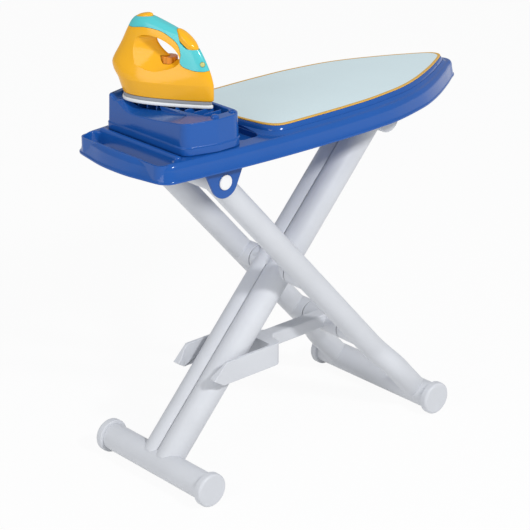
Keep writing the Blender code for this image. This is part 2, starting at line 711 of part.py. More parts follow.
def make_iron_rest():
    plan = rest_plan()
    top = REST_POST_Z
    rest = loft("iron_rest", [
        at_height(plan, REST_BASE_Z), at_height(offset_outline(plan, -REST_DRAFT / 2), top - REST_EDGE_ROUNDING),
        at_height(offset_outline(plan, -REST_DRAFT / 2 - REST_EDGE_ROUNDING / 3), top - REST_EDGE_ROUNDING / 3),
        at_height(offset_outline(plan, -REST_DRAFT / 2 - REST_EDGE_ROUNDING), top)])
    post_y = REST_TAIL_HALF_WIDTH * 2 / 3
    span = REST_LENGTH + 2 * OVERRUN
    # Side view of what is cut off the top: level towards the nose, a dip by the heel, and the heel post
    dip = [
        (-REST_SIDE_HALF_WIDTH - OVERRUN, REST_TOP_Z), (-REST_TAIL_HALF_WIDTH, REST_TOP_Z),
        (-post_y, REST_TOP_Z - TRAY_DEPTH / 2.4), (0, REST_TOP_Z - TRAY_DEPTH),
        (post_y * 0.67, REST_TOP_Z - TRAY_DEPTH * 1.4), (post_y * 0.95, REST_TOP_Z - TRAY_DEPTH / 4),
        (post_y * 1.12, REST_POST_Z + GAP), (post_y * 1.12, REST_POST_Z + OVERRUN),
        (-REST_SIDE_HALF_WIDTH - OVERRUN, REST_POST_Z + OVERRUN),
    ]
    level = [
        (-REST_SIDE_HALF_WIDTH - OVERRUN, REST_TOP_Z), (post_y * 1.25, REST_TOP_Z),
        (post_y * 1.4, REST_POST_Z + OVERRUN), (-REST_SIDE_HALF_WIDTH - OVERRUN, REST_POST_Z + OVERRUN),
    ]
    stand = Matrix.Rotation(math.radians(90), 4, "Z") @ Matrix.Rotation(math.radians(90), 4, "X")
    middle_x = REST_TAIL_X + REST_LENGTH / 2
    level_cut = plate("rest_level", level, span, Matrix.Translation((middle_x, 0, 0)) @ stand)
    lean = Matrix.Translation((REST_TAIL_X, 0, REST_TOP_Z)) @ Matrix.Rotation(-0.128, 4, "Y")
    dip_low = [(y, z - REST_TOP_Z) for y, z in dip]
    dip_cut = plate("rest_dip", dip_low, 2 * TRAY_DEPTH, lean @ stand)
    cut(rest, level_cut, dip_cut)
    # Tray: the iron's plan with a margin, opened towards the pad side up to a thin rim
    tray = [iron_matrix() @ Vector((p.x, p.y, 0)) for p in iron_outline(
        -SOLE_REAR - TRAY_MARGIN, SOLE_LENGTH - SOLE_REAR + TRAY_MARGIN, SOLE_HALF_WIDTH + TRAY_MARGIN, 0.45)]
    tray_plan = [Vector((p.x, p.y)) for p in tray]
    tray_hole = loft("tray_hole", [at_height(tray_plan, z) for z in (TRAY_FLOOR_Z, REST_POST_Z + OVERRUN)])
    nose_x = REST_TAIL_X + REST_LENGTH
    side_low = (IRON_HEEL_X + TRAY_MARGIN, -REST_SIDE_HALF_WIDTH + 2 * TRAY_RIM + TRAY_MARGIN)
    side_high = (nose_x - TRAY_RIM - REST_DRAFT, REST_TAIL_HALF_WIDTH - TRAY_RIM)
    side_hole = loft("tray_side", [at_height(rounded_box_outline(side_low, side_high, WELL_CORNER), z)
                                   for z in (TRAY_FLOOR_Z, REST_POST_Z + OVERRUN)])
    inside = offset_outline(plan, -REST_DRAFT / 2 - REST_WALL)
    cavity = loft("rest_cavity", [at_height(inside, z) for z in (REST_BASE_Z - OVERRUN, TRAY_FLOOR_Z - REST_WALL)])
    cut(rest, tray_hole, side_hole, cavity)
    for x, y in screw_places():
        fuse(rest, cylinder("screw_boss", SCREW_BOSS_RADIUS, (x, y, REST_BASE_Z),
                            (x, y, TRAY_FLOOR_Z - REST_WALL / 2)))
    first_y = side_low[1] + TRAY_MARGIN
    pitch = (side_high[1] - TRAY_MARGIN - first_y) / (RIB_COUNT - 1)
    for number in range(RIB_COUNT):
        y = first_y + pitch * number
        rib = box("rib", (REST_TAIL_X + TRAY_RIM, y - RIB_WALL / 2, TRAY_FLOOR_Z - REST_WALL / 2),
                  (nose_x - TRAY_RIM, y + RIB_WALL / 2, REST_TOP_Z))
        fuse(rest, cut(rib, box("rib_trim", (REST_TAIL_X, y - RIB_WALL, REST_TOP_Z - TRAY_DEPTH / 4),
                                (IRON_HEEL_X, y + RIB_WALL, REST_TOP_Z + OVERRUN))))
    for x, y in screw_places():
        cut(rest, cylinder("screw_bore", SCREW_RADIUS + GAP, (x, y, REST_BASE_Z - OVERRUN),
                           (x, y, REST_BASE_Z + SCREW_LENGTH + GAP)))
    as_part(rest, "iron_rest", "blue", sharp=30)
    head_top = DECK_Z - WALL - GAP
    profile = [(0, head_top + SCREW_LENGTH), (SCREW_RADIUS, head_top + SCREW_LENGTH - SCREW_RADIUS),
               (SCREW_RADIUS, head_top), (SCREW_HEAD_RADIUS, head_top),
               (SCREW_HEAD_RADIUS, head_top - SCREW_HEAD_HEIGHT / 2), (SCREW_RADIUS, head_top - SCREW_HEAD_HEIGHT),
               (0, head_top - SCREW_HEAD_HEIGHT)]
    for number, (x, y) in enumerate(screw_places(), 1):
        screw = turned("screw", profile, Matrix.Translation((x, y, 0)), PIN_SIDES)
        as_part(screw, f"rest_screw_{number}", "steel")


# Outer leg frame

def make_outer_frame(pivot):
    top = cylinder("outer_top_tube", OUTER_TUBE_RADIUS, HINGE - Vector((0, OUTER_LEG_FACE, 0)),
                   HINGE + Vector((0, OUTER_LEG_FACE, 0)), TUBE_SIDES)
    for side, label in ((-1, "near"), (1, "far")):
        make_outer_leg(side, label, pivot)
        head_base = side * (EAR_OUTER_Y + GAP)
        tip = side * (OUTER_LEG_FACE - HINGE_PIN_REACH)
        bore = cylinder("hinge_bore", HINGE_PIN_RADIUS + GAP, (HINGE_X, tip - side * GAP, HINGE_Z),
                        (HINGE_X, side * (OUTER_LEG_FACE + OVERRUN), HINGE_Z))
        cut(top, bore)
        length = abs(head_base - tip)
        rim = HINGE_HEAD_HEIGHT / 3
        profile = [(0, length + HINGE_HEAD_HEIGHT), (HINGE_HEAD_RADIUS - rim, length + HINGE_HEAD_HEIGHT),
                   (HINGE_HEAD_RADIUS, length + HINGE_HEAD_HEIGHT - rim), (HINGE_HEAD_RADIUS, length),
                   (HINGE_PIN_RADIUS, length), (HINGE_PIN_RADIUS, 0), (0, 0)]
        pin = turned("pin", profile, along((0, side, 0), (HINGE_X, tip, HINGE_Z)), PIN_SIDES)
        as_part(pin, f"hinge_pin_{label}", "white")
    as_part(top, "outer_top_tube", "grey", pivot)
    make_foot("outer", OUTER_FOOT, OUTER_FOOT_HALF_LENGTH, pivot)
    for place, name in ((STAY_PIVOT, "stay_pin"), (MAIN_PIVOT, "main_pivot_pin")):
        reach = Vector((0, OUTER_LEG_Y - OUTER_TUBE_RADIUS + PIVOT_PIN_BITE, 0))
        pin = cylinder(name, PIVOT_PIN_RADIUS, place - reach, place + reach)
        as_part(pin, name, "steel", pivot)


def make_outer_leg(side, label, pivot):
    points = []
    stops = [0] + [JOG_START_SHARE + (JOG_END_SHARE - JOG_START_SHARE) * i / JOG_STEPS
                   for i in range(JOG_STEPS + 1)] + [1 - LEG_FOOT_STANDOFF / (OUTER_FOOT - HINGE).length]
    for share in stops:
        turn = min(1, max(0, (share - JOG_START_SHARE) / (JOG_END_SHARE - JOG_START_SHARE)))
        ease = (1 - math.cos(math.pi * turn)) / 2
        y = OUTER_LEG_Y + (OUTER_LEG_FOOT_Y - OUTER_LEG_Y) * ease
        points.append(HINGE.lerp(OUTER_FOOT, share) + Vector((0, side * y, 0)))
    leg = tube("outer_leg", points, OUTER_TUBE_RADIUS)
    for place in (MAIN_PIVOT, STAY_PIVOT):
        face = side * (HUB_HALF_WIDTH + GAP)
        root = side * OUTER_LEG_Y
        fuse(leg, cylinder("leg_boss", HUB_RADIUS, place + Vector((0, face, 0)), place + Vector((0, root, 0)),
                           TUBE_SIDES, HUB_RADIUS + BOSS_FLARE))
    for place in (MAIN_PIVOT, STAY_PIVOT):
        depth = OUTER_LEG_Y - OUTER_TUBE_RADIUS + PIVOT_PIN_BITE + GAP
        cut(leg, cylinder("pin_bore", PIVOT_PIN_RADIUS + GAP, place, place + Vector((0, side * depth, 0))))
    reach = Vector((0, OUTER_FOOT_HALF_LENGTH, 0))
    cut(leg, cylinder("top_saddle", OUTER_TUBE_RADIUS + GAP, HINGE - reach, HINGE + reach, TUBE_SIDES),
        cylinder("foot_saddle", FOOT_TUBE_RADIUS + GAP, OUTER_FOOT - reach, OUTER_FOOT + reach, TUBE_SIDES))
    as_part(leg, f"outer_leg_{label}", "grey", pivot)


def make_foot(label, centre, half_length, pivot):
    """A foot bar with a round cap plugged into each end."""
    end = half_length - CAP_LENGTH - GAP
    bar = cylinder("foot_bar", FOOT_TUBE_RADIUS, centre - Vector((0, end, 0)), centre + Vector((0, end, 0)), TUBE_SIDES)
    for side, word in ((-1, "near"), (1, "far")):
        outer = centre + Vector((0, side * half_length, 0))
        depth = end - CAP_SPIGOT_LENGTH - GAP
        cut(bar, cylinder("spigot_bore", CAP_SPIGOT_RADIUS + GAP, centre + Vector((0, side * depth, 0)),
                          centre + Vector((0, side * (end + OVERRUN), 0))))
        profile = [(0, 0)]
        for step in range(CAP_ROUND_STEPS + 1):
            angle = math.radians(90 * step / CAP_ROUND_STEPS)
            profile.append((CAP_RADIUS - CAP_ROUNDING * (1 - math.sin(angle)), -CAP_ROUNDING * (1 - math.cos(angle))))
        profile += [(CAP_RADIUS, -CAP_LENGTH + CAP_NECK), (CAP_RADIUS - CAP_NECK, -CAP_LENGTH),
                    (CAP_SPIGOT_RADIUS, -CAP_LENGTH), (CAP_SPIGOT_RADIUS, -CAP_LENGTH - CAP_SPIGOT_LENGTH),
                    (0, -CAP_LENGTH - CAP_SPIGOT_LENGTH)]
        cap = turned("cap", profile, along((0, side, 0), outer), TUBE_SIDES)
        as_part(cap, f"{label}_foot_cap_{word}", "grey", pivot)
    as_part(bar, f"{label}_foot_bar", "grey", pivot)


# Inner leg frame

def make_inner_frame(pivot):
    start = TOP_BAR + INNER_DIRECTION * LEG_BAR_STANDOFF
    end = INNER_FOOT - INNER_DIRECTION * LEG_BAR_STANDOFF
    sides = [tube("inner_tube", [start + Vector((0, side * INNER_TUBE_Y, 0)), end + Vector((0, side * INNER_TUBE_Y, 0))],
                  INNER_TUBE_RADIUS) for side in (-1, 1)]
    hub_reach = Vector((0, HUB_HALF_WIDTH, 0))
    hub = cylinder("main_hub", HUB_RADIUS, MAIN_PIVOT - hub_reach, MAIN_PIVOT + hub_reach, TUBE_SIDES)
    # The two tubes share cap planes, which the exact solver loses
    leg = fuse(sides[0], sides[1], hub, solver="MANIFOLD")
    past = Vector((0, HUB_HALF_WIDTH + OVERRUN, 0))
    cut(leg, cylinder("main_bore", PIVOT_PIN_RADIUS + GAP, MAIN_PIVOT - past, MAIN_PIVOT + past),
        cylinder("bar_saddle", INNER_TUBE_RADIUS + GAP, TOP_BAR - past, TOP_BAR + past, TUBE_SIDES),
        cylinder("foot_saddle", FOOT_TUBE_RADIUS + GAP, INNER_FOOT - past, INNER_FOOT + past, TUBE_SIDES),
        solver="MANIFOLD")
    as_part(leg, "inner_leg", "grey", pivot)
    reach = Vector((0, TOP_BAR_HALF_LENGTH, 0))
    bar = cylinder("inner_top_bar", INNER_TUBE_RADIUS, TOP_BAR - reach, TOP_BAR + reach, TUBE_SIDES)
    as_part(bar, "inner_top_bar", "grey", pivot)
    make_foot("inner", INNER_FOOT, INNER_FOOT_HALF_LENGTH, pivot)


# Forked stay

def make_stay(pivot):
    inner_y = INNER_HALF_WIDTH + FORK_CLEARANCE
    outer_y = inner_y + FORK_WALL
    tip_x = FORK_BASE_X - FORK_TIP_REACH
    height = FORK_TOP_Z - FORK_BOTTOM_Z
    middle_z = (FORK_TOP_Z + FORK_BOTTOM_Z) / 2
    outer_plan = rounded_corners([
        Vector((tip_x - FORK_TIP_SLANT, -outer_y)), Vector((FORK_BASE_X, -outer_y)),
        Vector((FORK_BASE_X, outer_y)), Vector((tip_x - FORK_TIP_SLANT, outer_y))],
        (FORK_WALL / 4, FORK_CORNER, FORK_CORNER, FORK_WALL / 4))
    inner_plan = rounded_corners([
        Vector((tip_x - 2 * FORK_TIP_SLANT, -inner_y)), Vector((FORK_BASE_X - FORK_BASE_DEPTH, -inner_y)),
        Vector((FORK_BASE_X - FORK_BASE_DEPTH, inner_y)), Vector((tip_x - 2 * FORK_TIP_SLANT, inner_y))],
        (FORK_WALL / 4, FORK_CORNER / 2, FORK_CORNER / 2, FORK_WALL / 4))
    fork = plate("fork", outer_plan, height, Matrix.Translation((0, 0, middle_z)), rounding=FORK_WALL / 4)
    cut(fork, plate("fork_gap", inner_plan, height + 2 * OVERRUN, Matrix.Translation((0, 0, middle_z))))
    lip_y = INNER_HALF_WIDTH + LIP_CLEARANCE
    for side in (-1, 1):
        bump = [(tip_x - FORK_TIP_SLANT + FORK_WALL / 4, side * (inner_y + FORK_WALL / 3)),
                (tip_x - FORK_TIP_SLANT + FORK_WALL / 4, side * lip_y),
                (tip_x - FORK_TIP_SLANT + LIP_LENGTH / 2, side * lip_y),
                (tip_x - FORK_TIP_SLANT + LIP_LENGTH * 2, side * (inner_y + FORK_WALL / 3))]
        if side > 0:
            bump.reverse()
        fuse(fork, plate("lip", bump, height - FORK_WALL / 2, Matrix.Translation((0, 0, middle_z))))
    slant = [
        (tip_x - FORK_TIP_SLANT - OVERRUN, FORK_TOP_Z + OVERRUN), (tip_x - FORK_TIP_SLANT - OVERRUN, FORK_BOTTOM_Z - OVERRUN),
        (tip_x - FORK_TIP_SLANT * 0.27, FORK_BOTTOM_Z - OVERRUN), (tip_x - FORK_TIP_SLANT * 0.27, FORK_BOTTOM_Z),
        (tip_x - FORK_TIP_SLANT, FORK_BOTTOM_Z + height / 3), (tip_x, FORK_TOP_Z), (tip_x, FORK_TOP_Z + OVERRUN)]
    stand = Matrix.Rotation(math.radians(90), 4, "X")
    cut(fork, plate("tip_slant", slant, 2 * (outer_y + OVERRUN), stand))
    stem_z = STAY_PIVOT.z + STAY_STEM_RISE
    stem_plan = [
        Vector((FORK_BASE_X - FORK_BASE_DEPTH / 2, STAY_STEM_HALF_WIDTH + FORK_GUSSET)),
        Vector((FORK_BASE_X - FORK_BASE_DEPTH / 2, -STAY_STEM_HALF_WIDTH - FORK_GUSSET)),
        Vector((FORK_BASE_X, -STAY_STEM_HALF_WIDTH - FORK_GUSSET)),
        Vector((FORK_BASE_X + FORK_GUSSET, -STAY_STEM_HALF_WIDTH)),
        Vector((STAY_PIVOT.x, -STAY_STEM_HALF_WIDTH)), Vector((STAY_PIVOT.x, STAY_STEM_HALF_WIDTH)),
        Vector((FORK_BASE_X + FORK_GUSSET, STAY_STEM_HALF_WIDTH)),
        Vector((FORK_BASE_X, STAY_STEM_HALF_WIDTH + FORK_GUSSET))]
    stem = plate("stem", stem_plan, 2 * STAY_STEM_HALF_HEIGHT, Matrix.Translation((0, 0, stem_z)),
                 rounding=FORK_WALL / 2, rounding_steps=2)
    reach = Vector((0, HUB_HALF_WIDTH, 0))
    past = Vector((0, HUB_HALF_WIDTH + OVERRUN, 0))
    fuse(fork, stem, cylinder("stay_hub", HUB_RADIUS, STAY_PIVOT - reach, STAY_PIVOT + reach, TUBE_SIDES))
    cut(fork, cylinder("stay_bore", PIVOT_PIN_RADIUS + GAP, STAY_PIVOT - past, STAY_PIVOT + past))
    as_part(fork, "stay_fork", "grey", pivot)


# Iron

def iron_form():
    rings = []
    for height, rear, front, width, point in IRON_SECTION_SHARES:
        outline = iron_outline(rear * IRON_LENGTH, front * IRON_LENGTH, width * IRON_HALF_WIDTH, point)
        rings.append(at_height(outline, height * IRON_HEIGHT))
    return loft("iron_form", rings)


def finger_loop():
    """Cutter for the finger loop: an oval throat that opens to wider mouths on both sides."""
    centre = Vector((LOOP_CENTRE_SHARES[0] * IRON_LENGTH, LOOP_CENTRE_SHARES[1] * IRON_HEIGHT))
    rings = []
    mouth_y = IRON_HALF_WIDTH * 2 / 3
    flare = 2 * (LOOP_MOUTH[0] - LOOP_THROAT[0])
    for y, grow in ((-2 * mouth_y, flare), (-mouth_y, flare / 2), (-mouth_y / 2, flare / 6), (0, 0),
                    (mouth_y / 2, flare / 6), (mouth_y, flare / 2), (2 * mouth_y, flare)):
        ring = []
        for i in range(LOOP_SIDES):
            angle = 2 * math.pi * i / LOOP_SIDES
            offset = Vector(((LOOP_THROAT[0] + grow) * math.cos(angle), (LOOP_THROAT[1] + grow) * math.sin(angle)))
            turned_offset = Matrix.Rotation(LOOP_LEAN, 2) @ offset
            ring.append(Vector((centre.x + turned_offset.x, y, centre.y + turned_offset.y)))
        rings.append(ring)
    return loft("finger_loop", rings)


def seam_region(shift):
    """Everything above the seam, for the cover: shifted up or down by half the joint gap."""
    seam = [(x * IRON_LENGTH, z * IRON_HEIGHT) for x, z in SEAM_SHARES]
    top = IRON_HEIGHT + 2 * OVERRUN
    outline = seam + [(seam[-1][0], top), (seam[0][0], top)]
    stand = Matrix.Translation((shift, 0, shift)) @ Matrix.Rotation(math.radians(90), 4, "X")
    return plate("seam_region", outline, 2 * (IRON_HALF_WIDTH + OVERRUN), stand)


def place_on_iron(shares):
    return Vector((shares[0] * IRON_LENGTH, 0, shares[1] * IRON_HEIGHT))


def oval(name, half_length, half_width, low, high, matrix, dome=0):
    """An oval peg about its own Z, with a dome on top if asked."""
    rings = []
    levels = [(1, low), (1, high - dome)]
    if dome:
        levels += [(0.88, high - dome * 0.55), (0.62, high - dome * 0.16), (0.3, high)]
    for share, z in levels:
        rings.append([matrix @ Vector((half_length * share * math.cos(2 * math.pi * i / BUTTON_SIDES),
                                       half_width * share * math.sin(2 * math.pi * i / BUTTON_SIDES), z))
                      for i in range(BUTTON_SIDES)])
    return loft(name, rings)


def make_iron(body_empty, rear_empty, front_empty, dial_empty):
    placed = []
    sole_front = SOLE_LENGTH - SOLE_REAR
    sole = loft("soleplate", [at_height(iron_outline(-SOLE_REAR, sole_front, SOLE_HALF_WIDTH, 0.58), z)
                              for z in (0, SOLE_HEIGHT)])
    placed.append((sole, "iron_soleplate", "pale", body_empty))
    skirt_low = SOLE_HEIGHT + GAP
    skirt = loft("skirt", [at_height(iron_outline(-SOLE_REAR + SKIRT_INSET, sole_front - SKIRT_INSET,
                                                  SOLE_HALF_WIDTH - SKIRT_INSET, 0.58), z)
                           for z in (skirt_low, skirt_low + SKIRT_HEIGHT)])
    placed.append((skirt, "iron_skirt", "band", body_empty))

    body = cut(iron_form(), finger_loop(), seam_region(-GAP / 2))
    cover = boolean(iron_form(), seam_region(GAP / 2), "INTERSECT")
    cut(cover, finger_loop())

    rear = place_on_iron(REAR_BUTTON_SHARES)
    rear_frame = Matrix.Translation(rear)
    play = REAR_BUTTON_TRAVEL + GAP
    rear_top = REAR_BUTTON_HEIGHT
    button = oval("rear_button", REAR_BUTTON_HALF_LENGTH, REAR_BUTTON_HALF_WIDTH, 0, rear_top, rear_frame,
                  REAR_BUTTON_HEIGHT / 3)
    pocket = oval("rear_pocket", REAR_BUTTON_HALF_LENGTH + GAP, REAR_BUTTON_HALF_WIDTH + GAP, -play,
                  rear_top + OVERRUN, rear_frame)
    cut(cover, pocket)
    placed.append((button, "iron_rear_button", "yellow", rear_empty))

    front = place_on_iron(FRONT_BUTTON_SHARES)
    front_frame = Matrix.Translation(front) @ Matrix.Rotation(FRONT_BUTTON_TILT, 4, "Y")
    play = FRONT_BUTTON_TRAVEL + GAP
    button = oval("front_button", FRONT_BUTTON_HALF_LENGTH, FRONT_BUTTON_HALF_WIDTH, -FRONT_BUTTON_HEIGHT / 2,
                  FRONT_BUTTON_HEIGHT / 2, front_frame, FRONT_BUTTON_HEIGHT / 2)
    pocket = oval("front_pocket", FRONT_BUTTON_HALF_LENGTH + GAP, FRONT_BUTTON_HALF_WIDTH + GAP,
                  -FRONT_BUTTON_HEIGHT / 2 - play, FRONT_BUTTON_HEIGHT, front_frame)
    cut(cover, pocket)
    placed.append((button, "iron_front_button", "yellow", front_empty))

    lens = place_on_iron(LENS_SHARES)
    lens_axis = Vector((math.cos(math.radians(-55)), math.sin(math.radians(-55)), math.tan(math.radians(20))))
    lens_axis.normalize()
    lens_frame = along(lens_axis, lens)
    profile = [(0, LENS_DEPTH), (LENS_RADIUS * 0.7, LENS_DEPTH * 0.9), (LENS_RADIUS, LENS_DEPTH * 0.6),
               (LENS_RADIUS, -LENS_DEPTH), (0, -LENS_DEPTH)]
    placed.append((turned("lens", profile, lens_frame, PIN_SIDES), "iron_indicator_lens", "yellow", body_empty))
    cut(cover, cylinder("lens_bore", LENS_RADIUS + GAP, lens - lens_axis * (LENS_DEPTH + GAP),
                        lens + lens_axis * 3 * LENS_DEPTH))

    dial = place_on_iron(DIAL_SHARES)
    wheel = cylinder("dial_wheel", DIAL_RADIUS, dial, dial + Vector((0, 0, DIAL_HEIGHT)), DIAL_GRIPS * 2,
                     DIAL_RADIUS - DIAL_HEIGHT / 6)
    fuse(wheel, cylinder("dial_stem", DIAL_AXLE_RADIUS, dial - Vector((0, 0, DIAL_AXLE_LENGTH)),
                         dial + Vector((0, 0, DIAL_HEIGHT / 2)), PIN_SIDES))
    placed.append((wheel, "iron_dial", "orange", dial_empty))
    seat = cylinder("dial_seat", DIAL_RADIUS + 3 * GAP, dial - Vector((0, 0, GAP)),
                    dial + Vector((0, 0, DIAL_HEIGHT * 3)), TUBE_SIDES)
    bore = cylinder("dial_bore", DIAL_AXLE_RADIUS + GAP, dial - Vector((0, 0, DIAL_AXLE_LENGTH + GAP)), dial)
    cut(body, seat, bore)

    placed.append((body, "iron_body", "yellow", body_empty))
    placed.append((cover, "iron_handle_cover", "turquoise", body_empty))
    matrix = iron_matrix()
    for obj, name, colour, empty in placed:
        obj.matrix_world = matrix @ obj.matrix_world
        as_part(obj, name, colour, empty)
    for cutter in COLLECTIONS["cutters"].objects:
        if cutter.name.split(".")[0] in IRON_CUTTERS:
            cutter.matrix_world = matrix @ cutter.matrix_world


IRON_CUTTERS = ("finger_loop", "seam_region", "rear_pocket", "front_pocket", "lens_bore", "dial_seat", "dial_bore",
                "dial_stem")


def main():
    clear_scene()
    make_board_shell()
    make_iron_rest()
    outer_pivot = joint_empty("outer_frame_pivot", HINGE)
    inner_pivot = joint_empty("inner_frame_pivot", MAIN_PIVOT, outer_pivot)
    stay_pivot = joint_empty("stay_pivot", STAY_PIVOT, outer_pivot)
    make_outer_frame(outer_pivot)
    make_inner_frame(inner_pivot)
    make_stay(stay_pivot)
    iron = iron_matrix()
    iron_seat = joint_empty("iron_seat", iron.translation)
    rear = joint_empty("rear_button_seat", iron @ place_on_iron(REAR_BUTTON_SHARES), iron_seat)
    front = joint_empty("front_button_seat", iron @ place_on_iron(FRONT_BUTTON_SHARES), iron_seat)
    dial = joint_empty("dial_axis", iron @ place_on_iron(DIAL_SHARES), iron_seat)
    make_iron(iron_seat, rear, front, dial)


main()
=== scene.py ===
"""Toy ironing board, dressed for its picture.

A blue board with a pale printed pad stands on two crossed frames of light grey tube, held open by a
forked stay. A yellow and turquoise toy iron stands on the raised rest at the tail. Metres, +Z up, +X
towards the nose of the board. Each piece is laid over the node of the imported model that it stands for.
"""

import math

import bmesh
import bpy
from bpy.props import FloatProperty, FloatVectorProperty, PointerProperty
from mathutils import Matrix, Vector
from mathutils.geometry import interpolate_bezier


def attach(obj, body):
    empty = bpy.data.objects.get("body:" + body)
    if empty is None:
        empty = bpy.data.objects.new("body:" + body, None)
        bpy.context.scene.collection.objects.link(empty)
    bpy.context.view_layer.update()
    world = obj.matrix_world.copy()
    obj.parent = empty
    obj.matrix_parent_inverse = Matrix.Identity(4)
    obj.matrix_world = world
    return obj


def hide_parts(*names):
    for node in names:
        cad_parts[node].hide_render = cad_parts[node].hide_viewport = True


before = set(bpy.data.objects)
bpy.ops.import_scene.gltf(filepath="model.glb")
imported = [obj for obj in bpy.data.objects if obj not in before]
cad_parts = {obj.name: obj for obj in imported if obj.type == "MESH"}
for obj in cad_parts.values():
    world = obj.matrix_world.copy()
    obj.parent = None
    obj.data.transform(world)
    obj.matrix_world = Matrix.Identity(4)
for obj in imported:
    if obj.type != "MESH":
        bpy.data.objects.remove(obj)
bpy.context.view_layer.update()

bl_info = {
    "name": "Toy Ironing Board",
    "version": (1, 0, 0),
    "blender": (4, 5, 0),
    "location": "View3D > Sidebar > Toy Board",
    "description": "Builds a toy ironing board with folding legs and a toy iron over its packed model",
    "category": "Add Mesh",
}

MM = 0.001


def length(name, description, default):
    return FloatProperty(name=name, description=description, default=default, unit="LENGTH", precision=4)


def colour(name, description, default):
    return FloatVectorProperty(name=name, description=description, default=default, subtype="COLOR", min=0, max=1)


class BoardSizes(bpy.types.PropertyGroup):
    """Sizes of the board, its pad and the rest for the iron"""

    board_length: length("Board length", "From the tail bar to the nose", 0.720)
    board_width: length("Board width", "Across the widest part", 0.254)
    rim_z: length("Rim height", "Lower edge of the skirt above the floor", 0.5292)
    deck_z: length("Deck height", "Flat of the board round the pad", 0.5575)
    pad_z: length("Pad height", "Top of the pad above the floor", 0.5702)
    pad_thickness: length("Pad thickness", "Thickness of the printed sheet", 0.0015)
    border_width: length("Border width", "Printed golden border of the pad", 0.0047)
    wall: length("Wall", "Wall of the mouldings", 0.003)
    shoulder_width: length("Shoulder width", "How far the round edge of the board reaches in", 0.0075)
    shoulder_height: length("Shoulder height", "How far the round edge of the board reaches down", 0.0110)
    rest_z: length("Rest height", "Rim of the iron rest above the floor", 0.606)
    rest_post_z: length("Heel post height", "Corner post of the iron rest above the floor", 0.613)
    ear_radius: length("Ear radius", "Round end of the hinge ears", 0.025)


class FrameSizes(bpy.types.PropertyGroup):
    """Sizes of the two leg frames and the stay"""

    outer_tube_radius: length("Outer tube radius", "Legs of the outer frame", 0.0196)
    outer_leg_y: length("Outer leg place", "Middle of an outer leg from the middle of the board", 0.0754)
    inner_tube_radius: length("Inner tube radius", "Twin tubes of the inner frame", 0.0226)
    foot_tube_radius: length("Foot tube radius", "Foot bars of both frames", 0.0221)
    cap_radius: length("Cap radius", "Caps on the foot bars", 0.0274)
    cap_length: length("Cap length", "Visible length of a cap", 0.0133)
    hub_radius: length("Hub radius", "Pivot hubs", 0.020)
    pin_head_radius: length("Pin head radius", "White heads of the hinge pins", 0.0115)
    prong_height: length("Prong height", "Height of the forked stay", 0.0375)


class IronSizes(bpy.types.PropertyGroup):
    """Sizes of the toy iron"""

    length: length("Iron length", "Length that the body's sections are shares of", 0.1375)
    height: length("Iron height", "Height that the body's sections are shares of", 0.130)
    half_width: length("Iron half width", "Half the width of the body", 0.030)
    heading: FloatProperty(name="Heading", description="How the iron stands on its rest, from +X",
                           default=math.radians(-70), subtype="ANGLE")
    loop_depth: length("Finger loop depth", "From the throat in the middle out to the mouth", 0.024)


class Finishes(bpy.types.PropertyGroup):
    """Colours of the mouldings"""

    blue: colour("Board blue", "Glossy blue of board and rest", (0.010, 0.088, 0.360))
    grey: colour("Tube grey", "Satin grey of the leg frames", (0.640, 0.655, 0.690))
    pad: colour("Pad", "Pale print of the pad", (0.710, 0.850, 0.890))
    border: colour("Pad border", "Golden border of the pad", (0.700, 0.400, 0.060))
    yellow: colour("Iron yellow", "Warm yellow of the iron", (0.900, 0.440, 0.012))
    turquoise: colour("Cover turquoise", "Cover of the iron's handle", (0.090, 0.560, 0.590))
    orange: colour("Dial orange", "Dial inside the iron's loop", (0.720, 0.250, 0.015))
    pale: colour("Sole", "Pale sole of the iron", (0.780, 0.800, 0.820))
    lens: colour("Lens", "Pale lens on the handle", (0.560, 0.560, 0.200))
    band: colour("Band", "Grey band above the sole", (0.300, 0.310, 0.330))
    white: colour("Pin white", "White hinge pins", (0.830, 0.830, 0.830))
    steel: colour("Steel", "Screws and pivot pins", (0.550, 0.560, 0.580))
    gloss: FloatProperty(name="Gloss roughness", description="Roughness of the glossy mouldings",
                         default=0.14, min=0.02, max=1, subtype="FACTOR")
    satin: FloatProperty(name="Satin roughness", description="Roughness of the leg frames",
                         default=0.42, min=0.02, max=1, subtype="FACTOR")


class Studio(bpy.types.PropertyGroup):
    """Camera and lamps"""

    camera_place: FloatVectorProperty(name="Camera place", description="Where the camera stands", subtype="XYZ",
                                      unit="LENGTH", default=(-1.9732, -2.1202, 1.4792))
    azimuth: FloatProperty(name="Azimuth", description="Turn of the view round Z", subtype="ANGLE",
                           default=math.radians(-40.4727))
    elevation: FloatProperty(name="Elevation", description="How far the camera looks down", subtype="ANGLE",
                             default=math.radians(22.9768))
    roll: FloatProperty(name="Roll", description="Turn of the picture", subtype="ANGLE",
                        default=math.radians(-0.7444))
    focal_length: FloatProperty(name="Focal length", description="In millimetres, on a 36 mm sensor",
                                default=132.28)
    shift: FloatVectorProperty(name="Shift", description="Shift of the picture", size=2, default=(0.0927, 0.0335))
    lamp_power: FloatProperty(name="Lamp power", description="Watts of the main lamp", default=50, min=0)
    sky: FloatProperty(name="Sky strength", description="Light from all round", default=0.5, min=0)


# Joints and places that more than one piece uses

HINGE = Vector((-0.2294, 0, 0.5065))
OUTER_FOOT = Vector((0.1985, 0, 0.0274))
MAIN_PIVOT = HINGE.lerp(OUTER_FOOT, 0.443)  # both pivots are shares of the outer leg
STAY_PIVOT = HINGE.lerp(OUTER_FOOT, 0.7175)
TOP_BAR = Vector((0.1557, 0, 0.5066))
INNER_DIRECTION = (MAIN_PIVOT - TOP_BAR).normalized()
INNER_FOOT = TOP_BAR + INNER_DIRECTION * ((TOP_BAR.z - OUTER_FOOT.z) / -INNER_DIRECTION.z)
IRON_HEEL = Vector((-0.263, 0.068, 0.6063))

# Half outlines from tail to nose, in shares of the board's half length and half width

